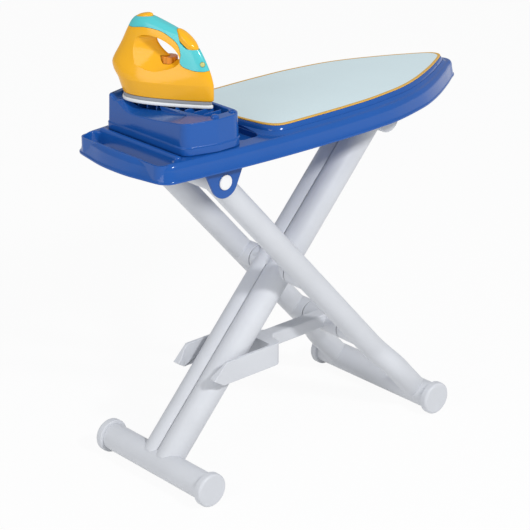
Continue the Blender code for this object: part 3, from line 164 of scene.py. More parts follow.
BOARD_OUTLINE = (
    (-1.0, 0.0), (-0.996, 0.25), (-0.983, 0.47), (-0.9686, 0.689), (-0.9617, 0.7457), (-0.9489, 0.793),
    (-0.9311, 0.8276), (-0.9108, 0.844), (-0.864, 0.8605), (-0.79, 0.884), (-0.57, 0.945), (-0.3, 0.99),
    (-0.02, 1.0), (0.16, 0.985), (0.31, 0.945), (0.48, 0.83), (0.58, 0.735), (0.71, 0.56), (0.85, 0.33),
    (0.935, 0.175), (0.968, 0.118), (0.986, 0.062), (0.991, 0.0),
)
PAD_OUTLINE = (
    (-0.405, 0.0), (-0.396, 0.295), (-0.379, 0.575), (-0.362, 0.7), (-0.34, 0.765), (-0.311, 0.796),
    (-0.23, 0.807), (-0.06, 0.816), (0.06, 0.812), (0.18, 0.8), (0.32, 0.752), (0.395, 0.716),
    (0.48, 0.652), (0.58, 0.545), (0.72, 0.36), (0.8, 0.235), (0.858, 0.138), (0.883, 0.085), (0.894, 0.035),
    (0.896, 0.0),
)

# Forms of the board that are cut or raised: metres, places from the middle of the board

OVERRUN, CLEAR = 4 * MM, 20 * MM  # how far a cutter runs on past what it cuts, and clear of all above it
LIP_HEIGHT, LIP_STEP = 3.2 * MM, 1.6 * MM
DRAFT = 4.2 * MM  # how far the skirt leans in by its shoulder
SHEET_GAP = 0.3 * MM
GROOVE_DEPTH = 6.6 * MM  # groove round the pad's step, below its top

# The pad's step in millimetres: out from the pad's outline, and height over the deck, then over the groove
STEP_FOOT = ((12.4, -1.5), (12.4, 0), (10.6, 0.5), (8.6, 1.7))
STEP_FLANK = ((6.8, -0.9), (5.7, -0.1), (5.1, -0.05), (4.7, -0.6), (4.4, -0.6), (4.1, 0.5), (3.3, 2.6),
              (2.2, 4.6), (1.2, 5.8), (0.5, 6.4))
STEP_TOP = -0.2
# The well in millimetres: out from its plan, and height over the deck
WELL_LEVELS = ((-1.2, -9), (-0.4, -8.8), (0, -8), (0, -1), (0.3, -0.3), (0.9, 0.1), (0.9, 3.9), (1.5, 4.0),
               (1.5, 4.6), (1.0, 4.7), (1.1, 7.4), (1.6, 7.6), (1.7, 20))

SLOT_TAIL, SLOT_NOSE, SLOT_HALF = 15 * MM, 47 * MM, 94 * MM  # edges from the tail bar, and half the length
SLOT_CORNER, SLOT_FLARE = 13 * MM, 2.4 * MM
WELL_LOW, WELL_HIGH, WELL_CORNER = (-0.1905, -0.088), (-0.1485, 0.088), 12 * MM
TUB_DEPTH = 12 * MM
CURB_WIDTH, CURB_LENGTH, CURB_HEIGHT = 11 * MM, 183 * MM, 4.4 * MM
CURB_DEPTH, CURB_CORNER, CURB_ROUNDING = 8 * MM, 4.6 * MM, 4.2 * MM
EAR_ROOT = 38 * MM  # half the width of an ear under the deck
EAR_INNER, EAR_OUTER = 95.6 * MM, 100.6 * MM
RAIL_TAIL, RAIL_NOSE, RAIL_Y, RAIL_HALF = 0.100, 0.285, 34 * MM, 1.5 * MM
STOP_TAIL, STOP_NOSE, STOP_HALF, STOP_BORE = 0.1281, 0.1444, 35.5 * MM, 22.9 * MM
INNER_BAR_HALF = 55 * MM
STEP_NOSE_SHARE, PAD_NOSE_SHARE = 0.15, 0.45  # how much more an inset outline draws in at its nose


# Making meshes

SHARP_EDGE = math.radians(38)
SHADING_WEIGHT = 90


def piece_from(bm, name):
    mesh = bpy.data.meshes.new(name)
    bmesh.ops.recalc_face_normals(bm, faces=bm.faces)
    bm.to_mesh(mesh)
    bm.free()
    obj = bpy.data.objects.new(name, mesh)
    bpy.context.scene.collection.objects.link(obj)
    return obj


def next_ring(bm, row, edges, places):
    """Extrude the open rim to the next ring of places."""
    made = bmesh.ops.extrude_edge_only(bm, edges=edges)["geom"]
    fresh = {v for v in made if isinstance(v, bmesh.types.BMVert)}
    rim = [e for e in made if isinstance(e, bmesh.types.BMEdge) and set(e.verts) <= fresh]
    twins = [next(e.other_vert(v) for e in v.link_edges if e.other_vert(v) in fresh) for v in row]
    for vert, place in zip(twins, places):
        vert.co = place
    return twins, rim


def skin(name, rings):
    """Closed skin over rings of equally many points: a circle is fitted to the first and extruded on."""
    bm = bmesh.new()
    bmesh.ops.create_circle(bm, cap_ends=False, segments=len(rings[0]), radius=1)
    row, edges = list(bm.verts), list(bm.edges)
    first = list(edges)
    for vert, place in zip(row, rings[0]):
        vert.co = place
    for places in rings[1:]:
        row, edges = next_ring(bm, row, edges, places)
    for rim in (first, edges):
        bmesh.ops.contextual_create(bm, geom=rim)
    return piece_from(bm, name)


def turned(name, profile, matrix, sides=64):
    """Spin a profile of (radius, height) pairs round Z."""
    bm = bmesh.new()
    corners = [bm.verts.new((radius, 0, height)) for radius, height in profile]
    chain = [bm.edges.new(pair) for pair in zip(corners, corners[1:])]
    bmesh.ops.spin(bm, geom=corners + chain, cent=(0, 0, 0), axis=(0, 0, 1), angle=2 * math.pi,
                   steps=sides, use_merge=True)
    bmesh.ops.remove_doubles(bm, verts=bm.verts, dist=0.01 * MM)
    bmesh.ops.transform(bm, matrix=matrix, verts=bm.verts)
    return piece_from(bm, name)


def round_bar(name, start, end, radius, sides=64):
    start, end = Vector(start), Vector(end)
    bm = bmesh.new()
    bmesh.ops.create_cone(bm, cap_ends=True, segments=sides, radius1=radius, radius2=radius,
                          depth=(end - start).length, matrix=stand_along(end - start, (start + end) / 2))
    return piece_from(bm, name)


def block(name, low, high, rounding=0.0):
    low, high = Vector(low), Vector(high)
    bm = bmesh.new()
    bmesh.ops.create_cube(bm, size=1)
    bmesh.ops.scale(bm, vec=high - low, verts=bm.verts)
    bmesh.ops.translate(bm, vec=(low + high) / 2, verts=bm.verts)
    if rounding:
        bmesh.ops.bevel(bm, geom=bm.edges, offset=rounding, offset_type="OFFSET", segments=3, profile=0.5,
                        affect="EDGES", material=-1, clamp_overlap=True)
    return piece_from(bm, name)


def slab(name, outline, low, high, rounding=0.0, steps=4, matrix=None):
    """A flat outline with thickness from low to high, and rounded edges if asked."""
    levels = [(0, low), (0, high)]
    if rounding:
        quarter = quarter_round(steps)
        levels = [(rounding * side, low + rounding * end) for side, end in quarter]
        levels += [(rounding * side, high - rounding * end) for side, end in reversed(quarter)]
    made = skin(name, [at_height(grown(outline, -inset), z) for inset, z in levels])
    if matrix:
        made.data.transform(matrix)
    return made


def bake(obj):
    """Turn an object's modifiers into its mesh."""
    bpy.context.view_layer.update()
    evaluated = obj.evaluated_get(bpy.context.evaluated_depsgraph_get())
    mesh = bpy.data.meshes.new_from_object(evaluated)
    obj.modifiers.clear()
    old = obj.data
    obj.data = mesh
    bpy.data.meshes.remove(old)
    return obj


def discard(obj):
    mesh = obj.data
    bpy.data.objects.remove(obj, do_unlink=True)
    bpy.data.meshes.remove(mesh)


def combine(target, others, operation, solver="EXACT"):
    for other in others:
        step = target.modifiers.new(operation.lower(), "BOOLEAN")
        step.operation = operation
        step.object = other
        step.solver = solver
    bake(target)
    for other in others:
        discard(other)
    return target


def carve(target, *cutters):
    return combine(target, cutters, "DIFFERENCE")


def weld(target, *additions):
    return combine(target, additions, "UNION")


def softened(obj, width, steps=3):
    """Round the sharp edges of a piece."""
    step = obj.modifiers.new("softened", "BEVEL")
    step.width = width
    step.segments = steps
    step.limit_method = "ANGLE"
    step.angle_limit = SHARP_EDGE
    step.use_clamp_overlap = False
    return bake(obj)


def gather(target, *others):
    """Put several closed meshes into one piece."""
    bm = bmesh.new()
    for obj in (target, *others):
        bm.from_mesh(obj.data)
    for obj in others:
        discard(obj)
    bm.to_mesh(target.data)
    bm.free()
    return target


def set_out(obj, name, body, slot, nodes, sharp=32, finish=None):
    """Name a finished piece, give it its finish, and lay it over its nodes."""
    obj.name = name
    obj.data.name = name
    obj.data.materials.clear()
    obj.data.materials.append(finish_for(finish or slot))
    obj.data.shade_smooth()
    obj.data.set_sharp_from_angle(angle=math.radians(sharp))
    step = obj.modifiers.new("even shading", "WEIGHTED_NORMAL")
    step.keep_sharp = True
    step.weight = SHADING_WEIGHT
    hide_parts(*nodes)
    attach(obj, body)


# Outlines and places

CURVE_STEPS = 8
CORNER_STEPS = 10
EAR_STEPS = 40
LAID_ALONG_Y = Matrix.Rotation(math.radians(90), 4, "X")  # a plan becomes a side view, its height runs to -Y


def stand_along(direction, centre):
    """Matrix that stands a shape's own Z along a direction."""
    turn = Vector(direction).to_track_quat("Z", "Y").to_matrix().to_4x4()
    return Matrix.Translation(centre) @ turn


def quarter_round(steps):
    """A quarter turn as pairs of shares: in from the side, which falls to 0, and in from the end, which grows."""
    angles = [math.radians(90 * step / steps) for step in range(steps + 1)]
    return [(1 - math.sin(angle), 1 - math.cos(angle)) for angle in angles]


def bezier_span(before, first, second, after, steps):
    """Plan points from the first up to the second, on a bezier piece whose handles follow the neighbours."""
    reach = (second - first).length / 3
    start = first + (second - before).normalized() * reach
    end = second - (after - first).normalized() * reach
    span = interpolate_bezier(first.to_3d(), start.to_3d(), end.to_3d(), second.to_3d(), steps + 1)
    return [place.to_2d() for place in span[:-1]]


def rounded_chain(points, steps):
    """Round a closed chain of plan points."""
    count = len(points)
    result = []
    for i in range(count):
        result += bezier_span(points[i - 1], points[i], points[(i + 1) % count], points[(i + 2) % count], steps)
    return result


def board_chain(shares, sizes):
    """Full outline from a half that is given as shares of the board's half length and half width."""
    near = [Vector((x * sizes.board_length / 2, -y * sizes.board_width / 2)) for x, y in shares]
    far = [Vector((point.x, -point.y)) for point in reversed(near[1:-1])]
    return rounded_chain(near + far, CURVE_STEPS)


def drawn_in(outline, inset, nose_share=0.3):
    """Draw a long outline in towards its middle, more at the nose; it never crosses itself."""
    low = min(point.x for point in outline)
    high = max(point.x for point in outline)
    side = max(abs(point.y) for point in outline)
    middle = (low + high) / 2
    tail = 1 - inset / (middle - low)
    nose = 1 - inset * (1 + nose_share) / (high - middle)
    across = 1 - inset / side
    return [Vector((middle + (point.x - middle) * (nose if point.x > middle else tail), point.y * across))
            for point in outline]


def grown(outline, grow):
    """Move each point along its outward normal."""
    if not grow:
        return outline
    count = len(outline)
    moved = []
    for i in range(count):
        tangent = (outline[(i + 1) % count] - outline[i - 1]).normalized()
        moved.append(outline[i] + Vector((tangent.y, -tangent.x)) * grow)
    return moved


def at_height(outline, z):
    return [Vector((point.x, point.y, z)) for point in outline]


def in_millimetres(pairs):
    return [(a * MM, b * MM) for a, b in pairs]


def round_rectangle(low, high, radius):
    corners = (
        (high[0] - radius, high[1] - radius, 0), (low[0] + radius, high[1] - radius, 90),
        (low[0] + radius, low[1] + radius, 180), (high[0] - radius, low[1] + radius, 270),
    )
    points = []
    for x, y, start in corners:
        for step in range(CORNER_STEPS + 1):
            angle = math.radians(start + 90 * step / CORNER_STEPS)
            points.append(Vector((x + radius * math.cos(angle), y + radius * math.sin(angle))))
    return points


def filleted(points, radii):
    """Fillet the corners of a plan polygon, counter-clockwise, each with its own radius."""
    count = len(points)
    result = []
    for i in range(count):
        corner = points[i]
        before = (points[i - 1] - corner).normalized()
        after = (points[(i + 1) % count] - corner).normalized()
        half = before.angle(after) / 2
        reach = radii[i] / math.tan(half)
        centre = corner + (before + after).normalized() * (radii[i] / math.sin(half))
        first = corner + before * reach - centre
        last = corner + after * reach - centre
        turn = first.angle_signed(last)
        for step in range(CORNER_STEPS + 1):
            result.append(centre + Matrix.Rotation(-turn * step / CORNER_STEPS, 2) @ first)
    return result


def eased(rows, steps):
    """Carry a table on smoothly between its rows."""
    last = len(rows) - 1
    result = []
    for i in range(last):
        columns = list(zip(rows[max(i - 1, 0)], rows[i], rows[i + 1], rows[min(i + 2, last)]))
        for step in range(steps):
            t = step / steps
            result.append(tuple(0.5 * (2 * b + (c - a) * t + (2 * a - 5 * b + 4 * c - d) * t ** 2
                                       + (3 * b - a - 3 * c + d) * t ** 3) for a, b, c, d in columns))
    result.append(rows[last])
    return result


# Finishes: node materials written as expressions

class Wire:
    """A node's output, which Python's arithmetic carries on with Math nodes."""

    def __init__(self, nodes, socket):
        self.nodes = nodes
        self.socket = socket

    def reckon(self, operation, first, second):
        return self.nodes.add("ShaderNodeMath", {"operation": operation}, {0: first, 1: second})

    def __add__(self, other):
        return self.reckon("ADD", self, other)

    def __radd__(self, other):
        return self.reckon("ADD", other, self)

    def __sub__(self, other):
        return self.reckon("SUBTRACT", self, other)

    def __rsub__(self, other):
        return self.reckon("SUBTRACT", other, self)

    def __mul__(self, other):
        return self.reckon("MULTIPLY", self, other)

    def __rmul__(self, other):
        return self.reckon("MULTIPLY", other, self)

    def above(self, limit):
        return self.reckon("GREATER_THAN", self, limit)


class Nodes:
    """A node tree that is being laid out."""

    def __init__(self, tree):
        self.tree = tree

    def add(self, kind, settings, inputs, output=0):
        """Add a node: its settings first, then the values or wires of its sockets."""
        node = self.tree.nodes.new(kind)
        for key, value in settings.items():
            setattr(node, key, value)
        for key, value in inputs.items():
            self.feed(node.inputs[key], value)
        return Wire(self, node.outputs[output])

    def feed(self, socket, value):
        if isinstance(value, Wire):
            self.tree.links.new(value.socket, socket)
        else:
            socket.default_value = value


class Finish(Nodes):
    """A material under way, with one Principled BSDF. Scales of noise are counted per metre."""

    def __init__(self, name):
        self.material = bpy.data.materials.new(name)
        self.material.use_nodes = True
        super().__init__(self.material.node_tree)
        self.shader = self.tree.nodes["Principled BSDF"]

    def place(self):
        return self.add("ShaderNodeTexCoord", {}, {}, "Object")

    def noise(self, scale, detail):
        return self.add("ShaderNodeTexNoise", {}, {"Vector": self.place(), "Scale": scale, "Detail": detail})

    def blend(self, share, first, second):
        """Mix two colours by a share."""
        return self.add("ShaderNodeMix", {"data_type": "RGBA"}, {0: share, 6: first, 7: second}, 2)

    def bump(self, height, strength, distance):
        return self.add("ShaderNodeBump", {}, {"Strength": strength, "Distance": distance, "Height": height})

    def set(self, **inputs):
        for key, value in inputs.items():
            self.feed(self.shader.inputs[key.replace("_", " ")], value)
        return self.material


# Mouldings: roughness, or the name of the user's own value for it, then grain and waviness

PLASTIC_IOR = 1.42
WEAVE_SCALE = 260.0
MOULDINGS = {
    "blue": ("gloss", 0.10, 0.35), "yellow": ("gloss", 0.10, 0.3), "turquoise": ("gloss", 0.10, 0.3),
    "orange": ("gloss", 0.10, 0.3), "grey": ("satin", 0.45, 0.3), "white": (0.3, 0.2, 0.2),
    "pale": (0.3, 0.2, 0.2), "lens": (0.2, 0.0, 0.1), "band": (0.4, 0.3, 0.2),
}


def shade_of(base, factor):
    return (*(min(1, part * factor) for part in base), 1)


def moulded(name, base, roughness, grain, waviness):
    """Injection-moulded plastic: slightly uneven colour and gloss, a faint waviness and a fine grain."""
    finish = Finish(name)
    cloud = finish.noise(14, 3)
    flow = finish.noise(55, 2)
    dust = finish.noise(900, 1)
    tint = finish.blend(cloud, shade_of(base, 0.93), shade_of(base, 1.07))
    height = flow * waviness + dust * grain
    return finish.set(Base_Color=tint, Roughness=roughness + (cloud - 0.5) * 0.08 + (dust - 0.5) * 0.05,
                      Normal=finish.bump(height, 0.25, 0.15 * MM), IOR=PLASTIC_IOR)


def printed_sheet(name, colours):
    """The pad: a pale print inside a golden border, on a sheet with a fine woven grain."""
    finish = Finish(name)
    inset = finish.add("ShaderNodeAttribute", {"attribute_name": "border"}, {}, "Fac")
    cloud = finish.noise(9, 3)
    mottle = finish.noise(300, 2)
    place = finish.place()
    warp, weft = (finish.add("ShaderNodeTexWave",
                             {"wave_type": "BANDS", "wave_profile": "SIN", "bands_direction": across},
                             {"Vector": place, "Scale": WEAVE_SCALE}, "Fac") for across in "XY")
    inside = inset.above(0.98)
    pale = finish.blend(cloud * 0.7 + mottle * 0.3, shade_of(colours.pad, 0.95), shade_of(colours.pad, 1.04))
    gold = finish.blend(inset, shade_of(colours.border, 1.10), shade_of(colours.border, 0.92))
    return finish.set(Base_Color=finish.blend(inside, gold, pale), Roughness=0.46 + (mottle - 0.5) * 0.1,
                      Normal=finish.bump(warp * 0.5 + weft * 0.5, 0.2, 0.05 * MM))


def drawn_metal(name, base):
    """Zinc-plated steel with fine turning marks."""
    finish = Finish(name)
    cloud = finish.noise(120, 2)
    fine = finish.noise(1500, 1)
    tint = finish.blend(cloud, shade_of(base, 0.85), shade_of(base, 1.1))
    return finish.set(Base_Color=tint, Roughness=0.26 + cloud * 0.14, Metallic=1,
                      Normal=finish.bump(fine, 0.2, 0.05 * MM))


def finish_for(slot):
    """The finish of a material slot, mixed once."""
    name = "board " + slot
    if name in bpy.data.materials:
        return bpy.data.materials[name]
    colours = bpy.context.scene.toy_finishes
    if slot == "pad":
        return printed_sheet(name, colours)
    if slot == "steel":
        return drawn_metal(name, colours.steel)
    roughness, grain, waviness = MOULDINGS[slot]
    if isinstance(roughness, str):
        roughness = getattr(colours, roughness)
    return moulded(name, getattr(colours, slot), roughness, grain, waviness)


# Board

def board_rings(sizes):
    """Rings up the outside of the board: lip, drafted wall, round shoulder and deck."""
    outline = board_chain(BOARD_OUTLINE, sizes)
    rim, deck = sizes.rim_z, sizes.deck_z
    lip_top, wall_top = rim + LIP_HEIGHT, deck - sizes.shoulder_height
    profile = [(0.8 * MM, rim), (0.2 * MM, rim + 0.3 * MM), (0, rim + 0.9 * MM), (0, lip_top - 0.8 * MM),
               (0.3 * MM, lip_top - 0.2 * MM), (1.2 * MM, lip_top + 0.2 * MM), (LIP_STEP, lip_top + 0.9 * MM)]
    profile += [(LIP_STEP + (DRAFT - LIP_STEP) * share, lip_top + (wall_top - lip_top) * share)
                for share in (0.25, 0.5, 0.75)]
    profile += [(DRAFT + sizes.shoulder_width * end, deck - sizes.shoulder_height * side)
                for side, end in quarter_round(12)]
    return [at_height(drawn_in(outline, inset), z) for inset, z in profile]


def board_hollow(sizes):
    outline = board_chain(BOARD_OUTLINE, sizes)
    wall, rim, deck = sizes.wall, sizes.rim_z, sizes.deck_z
    levels = ((wall, rim - OVERRUN), (wall, rim), (wall + LIP_STEP, rim + LIP_HEIGHT),
              (wall + DRAFT, deck - sizes.shoulder_height),
              (wall + DRAFT + sizes.shoulder_width / 2, deck - wall * 1.6),
              (wall + DRAFT + sizes.shoulder_width, deck - wall))
    return skin("board hollow", [at_height(drawn_in(outline, inset), z) for inset, z in levels])


def pad_step(sizes):
    """The raised step under the pad: a skirt up from the shoulder, a groove, and a bevel up to the pad."""
    outline = board_chain(PAD_OUTLINE, sizes)
    top = sizes.pad_z - sizes.pad_thickness - SHEET_GAP
    groove = top - GROOVE_DEPTH
    levels = [(grow, sizes.deck_z + z * MM) for grow, z in STEP_FOOT]
    levels += [(grow, groove + z * MM) for grow, z in STEP_FLANK] + [(STEP_TOP, top)]
    return skin("pad step", [at_height(drawn_in(outline, -grow * MM, STEP_NOSE_SHARE), z)
                             for grow, z in levels])


def hinge_ear(sizes, side):
    """Hinge ear: a round end about the pin that widens to its root under the deck."""
    radius = sizes.ear_radius
    root_z, top_z = sizes.rim_z - HINGE.z, sizes.deck_z - sizes.wall / 2
    tangent = math.atan2(root_z, EAR_ROOT) - math.acos(radius / math.hypot(EAR_ROOT, root_z))
    outline = []
    for step in range(EAR_STEPS + 1):
        angle = tangent - (math.pi + 2 * tangent) * step / EAR_STEPS
        outline.append(Vector((HINGE.x + radius * math.cos(angle), HINGE.z + radius * math.sin(angle))))
    outline += [Vector(place) for place in (
        (HINGE.x - EAR_ROOT, sizes.rim_z), (HINGE.x - EAR_ROOT, top_z), (HINGE.x + EAR_ROOT, top_z),
        (HINGE.x + EAR_ROOT, sizes.rim_z))]
    outline.reverse()
    ear = slab("ear", outline, EAR_INNER, EAR_OUTER, 1.2 * MM, matrix=LAID_ALONG_Y)
    if side > 0:
        ear.data.transform(Matrix.Diagonal((1, -1, 1, 1)))
        ear.data.flip_normals()
    return ear


def flared_hole(name, low, high, radius, bottom, top, flare):
    """Cutter for a hole whose upper edge is rounded over."""
    levels = [(0, bottom)]
    levels += [(flare * end, top - flare * side) for side, end in quarter_round(6)]
    levels.append((flare, top + CLEAR))
    rings = []
    for grow, z in levels:
        reach = Vector((grow, grow))
        rings.append(at_height(round_rectangle(low - reach, high + reach, radius + grow), z))
    return skin(name, rings)


def well_cutter(low, high, deck):
    """The well, and the fine lines that run across the upright end of the pad step above it."""
    rings = []
    for grow, z in WELL_LEVELS:
        reach = Vector((grow, grow)) * MM
        plan = round_rectangle(low - reach, high + reach, WELL_CORNER + grow * MM)
        rings.append(at_height(plan, deck + z * MM))
    return skin("well", rings)


def walled(name, low, high, radius, wall, levels):
    """Upright block a wall wider than an opening on each side."""
    edge = Vector((wall, wall))
    return skin(name, [at_height(round_rectangle(low - edge, high + edge, radius + wall), z) for z in levels])


def build_board(sizes):
    deck, rim, wall = sizes.deck_z, sizes.rim_z, sizes.wall
    shell = skin("shell", board_rings(sizes))
    weld(shell, pad_step(sizes))
    pad_line = board_chain(PAD_OUTLINE, sizes)
    top, under_deck = sizes.pad_z - sizes.pad_thickness, deck - wall / 2
    room = skin("pad room", [at_height(drawn_in(pad_line, wall), z) for z in (rim + wall, top - OVERRUN)])
    carve(shell, board_hollow(sizes), room)

    tail = -sizes.board_length / 2
    slot_low, slot_high = Vector((tail + SLOT_TAIL, -SLOT_HALF)), Vector((tail + SLOT_NOSE, SLOT_HALF))
    well_low, well_high = Vector(WELL_LOW), Vector(WELL_HIGH)
    weld(shell, walled("sleeve", slot_low, slot_high, SLOT_CORNER, wall, (rim + wall, under_deck)),
         walled("tub", well_low, well_high, WELL_CORNER, wall, (deck - TUB_DEPTH, under_deck)),
         hinge_ear(sizes, 1), hinge_ear(sizes, -1))
    carve(shell, flared_hole("slot", slot_low, slot_high, SLOT_CORNER, rim - OVERRUN, deck, SLOT_FLARE),
          well_cutter(well_low, well_high, deck))
    curb_low = Vector((slot_high.x + 0.1 * MM, -CURB_LENGTH / 2))
    curb_plan = round_rectangle(curb_low, curb_low + Vector((CURB_WIDTH, CURB_LENGTH)), CURB_CORNER)
    weld(shell, slab("curb", curb_plan, deck - CURB_DEPTH, deck + CURB_HEIGHT, CURB_ROUNDING, steps=6))

    rails = [block("rail", (RAIL_TAIL, side * RAIL_Y - RAIL_HALF, rim + 0.3 * MM),
                   (RAIL_NOSE, side * RAIL_Y + RAIL_HALF, top - 3 * MM), 0.5 * MM) for side in (-1, 1)]
    stop = block("stop", (STOP_TAIL, -STOP_HALF, rim - 6 * MM), (STOP_NOSE, STOP_HALF, top - 3 * MM), 0.5 * MM)
    reach = Vector((0, INNER_BAR_HALF, 0))
    carve(stop, round_bar("bar", TOP_BAR - reach, TOP_BAR + reach, STOP_BORE))
    return gather(shell, *rails, stop)


class AddBoard(bpy.types.Operator):
    """Add the blue board: shell, handle slot, curb, well, pad step, hinge ears and rails"""

    bl_idname = "toy_board.add_board"
    bl_label = "Board"

    def execute(self, context):
        shell = build_board(context.scene.toy_board)
        set_out(shell, "board_moulding", "board", "blue", ["board_shell"], sharp=30)
        return {"FINISHED"}


class AddPad(bpy.types.Operator):
    """Add the printed pad with its golden border"""

    bl_idname = "toy_board.add_pad"
    bl_label = "Pad"

    def execute(self, context):
        sizes = context.scene.toy_board
        line = board_chain(PAD_OUTLINE, sizes)
        low, high = sizes.pad_z - sizes.pad_thickness, sizes.pad_z
        border = sizes.border_width
        # inset, height, and the share of the border that has been crossed
        levels = [(0, low, 0), (0, high - 0.5 * MM, 0), (0.15 * MM, high - 0.15 * MM, 0.02),
                  (0.5 * MM, high, 0.08), (border * 0.5, high, 0.5), (border, high, 1)]
        pad = skin("pad", [at_height(drawn_in(line, inset, PAD_NOSE_SHARE), z) for inset, z, _ in levels])
        layer = pad.data.attributes.new("border", "FLOAT", "POINT")
        count = len(line)
        layer.data.foreach_set("value", [levels[i // count][2] for i in range(len(pad.data.vertices))])
        set_out(pad, "printed_pad", "board", "pad", ["ironing_pad"], sharp=40)
        return {"FINISHED"}


# Iron rest

REST_TAIL, REST_LENGTH = -0.296, 0.104
REST_TAIL_HALF, REST_HALF = 0.090, 0.1035
REST_FILLETS = (17, 24, 24, 24, 24, 9)  # millimetres, from the near tail corner, counter-clockwise
REST_GAP = 0.3 * MM
TRAY = ((-0.2445, -0.083), (-0.2005, -0.083), (-0.2005, 0.084), (-0.2800, 0.084))
TRAY_DEPTH, TRAY_CORNER = 17 * MM, 12 * MM
RIB_COUNT, RIB_FIRST, RIB_PITCH, RIB_HALF, RIB_END = 9, -70 * MM, 17 * MM, 1.1 * MM, -0.2105
SHELF_LEAN, SHELF_HALF = math.radians(-7.3), 32 * MM
PEG_PLACE, BOSS_PLACE = (-0.239, -0.0905), (-0.204, -0.088)
LEVEL_TAIL, LEVEL_NOSE = -0.300, -0.188

# The rest's wall and the round edge of its post in millimetres: out from the plan, and height over the deck
REST_WALL = ((1.2, 0), (1.2, 10.0), (1.1, 10.9), (0.7, 11.6), (0.1, 11.9), (-0.05, 12.6), (-0.6, 27), (-1.1, 39))
REST_EDGE_IN, REST_EDGE = 1.5, 4
# In millimetres: the tray's wall, out from its plan and over its floor; the bank at the post, across and over the
# level that the iron stands on; the peg and the boss, radius and height over that level
TRAY_WALL = ((-2.2, 0), (-0.8, 0.5), (-0.2, 2), (0, 5))
BANK = ((-115, 0), (73.5, 0), (76.5, 0.6), (79, 2.6), (80.8, 5.4), (83, 7.2), (87, 12), (-115, 12))
PEG = ((0, 4), (2.4, 3.9), (4.1, 3.4), (5.2, 2.4), (5.8, 1.1), (6, -0.5), (6, -4), (0, -4))
BOSS = ((2.4, -8), (2.4, 1.2), (2.8, 1.9), (4.3, 2), (5.1, 1.6), (5.5, 0.7), (5.5, -17), (0, -17), (0, -8),
        (2.4, -8))

# Shelf on the tail side: across, and height over the level that the iron stands on
REST_SHELF = (
    (-0.090, 0.0), (-0.058, -0.0041), (-0.012, -0.0099), (0.038, -0.0120), (0.060, -0.0035), (0.078, 0.0058),
    (0.081, 0.0073),
)


def rest_plan():
    knee, nose = REST_TAIL + REST_LENGTH / 2, REST_TAIL + REST_LENGTH
    corners = [Vector(place) for place in (
        (REST_TAIL, -REST_TAIL_HALF), (knee, -REST_HALF), (nose, -REST_HALF), (nose, REST_HALF),
        (knee, REST_HALF), (REST_TAIL, REST_TAIL_HALF))]
    return filleted(corners, [radius * MM for radius in REST_FILLETS])


def rest_ribs(floor_z, top_z):
    """Ribs along the tray; each starts low by the shelf and rises to the level that carries the sole."""
    tray_near, tray_far = Vector(TRAY[0]), Vector(TRAY[3])
    ribs = []
    for number in range(RIB_COUNT):
        y = RIB_FIRST + RIB_PITCH * number
        edge = tray_far.x + (tray_near.x - tray_far.x) * (tray_far.y - y) / (tray_far.y - tray_near.y)
        low = floor_z + 2 * MM
        outline = [Vector(place) for place in (
            (edge - 2 * MM, floor_z - 2 * MM), (RIB_END, floor_z - 2 * MM), (RIB_END, top_z),
            (edge + 6 * MM, top_z), (edge + 4.5 * MM, top_z - 1.2 * MM), (edge + 2.5 * MM, low + 3 * MM),
            (edge - 2 * MM, low))]
        ribs.append(slab("rib", outline, -y - RIB_HALF, -y + RIB_HALF, 0.5 * MM, steps=3, matrix=LAID_ALONG_Y))
    return ribs


def build_rest(sizes):
    plan = rest_plan()
    base, top, post = sizes.deck_z + REST_GAP, sizes.rest_z, sizes.rest_post_z
    floor_z = top - TRAY_DEPTH
    rings = [at_height(grown(plan, grow * MM), base + z * MM) for grow, z in REST_WALL]
    rings += [at_height(grown(plan, -(REST_EDGE_IN + REST_EDGE * end) * MM), post - REST_EDGE * MM * side)
              for side, end in quarter_round(8)]
    rest = skin("rest", rings)

    # the level that the iron's heel stands on, with a bank up to the post, and the leaning shelf at the tail
    across = Matrix.Rotation(math.radians(90), 4, "Z") @ LAID_ALONG_Y
    level = [Vector((y, top + z)) for y, z in in_millimetres(BANK)]
    shelf = [Vector(place) for place in (
        (-0.115, 0), *eased(REST_SHELF, 4), (0.0825, 8.2 * MM), (0.084, 12 * MM), (-0.115, 12 * MM))]
    lean = Matrix.Translation((REST_TAIL, 0, top)) @ Matrix.Rotation(SHELF_LEAN, 4, "Y")
    tray = filleted([Vector(corner) for corner in TRAY], [TRAY_CORNER] * len(TRAY))
    tray_levels = [(grow, floor_z + z * MM) for grow, z in TRAY_WALL] + [(0.2, post + OVERRUN)]
    carve(rest, slab("level", level, LEVEL_TAIL, LEVEL_NOSE, matrix=across),
          slab("shelf", shelf, -SHELF_HALF, SHELF_HALF, matrix=lean @ across),
          skin("tray", [at_height(grown(tray, grow * MM), z) for grow, z in tray_levels]))
    softened(rest, 1.5 * MM, 4)

    peg = turned("peg", in_millimetres(PEG), Matrix.Translation((*PEG_PLACE, top)), 40)
    boss = turned("boss", in_millimetres(BOSS), Matrix.Translation((*BOSS_PLACE, top)), 40)
    return gather(rest, peg, boss, *rest_ribs(floor_z, top))


class AddIronRest(bpy.types.Operator):
    """Add the raised rest with its ribbed tray and heel post"""

    bl_idname = "toy_board.add_rest"
    bl_label = "Iron rest"

    def execute(self, context):
        rest = build_rest(context.scene.toy_board)
        set_out(rest, "iron_rest_moulding", "board", "blue", ["iron_rest"], sharp=35)
        return {"FINISHED"}


# Leg frames

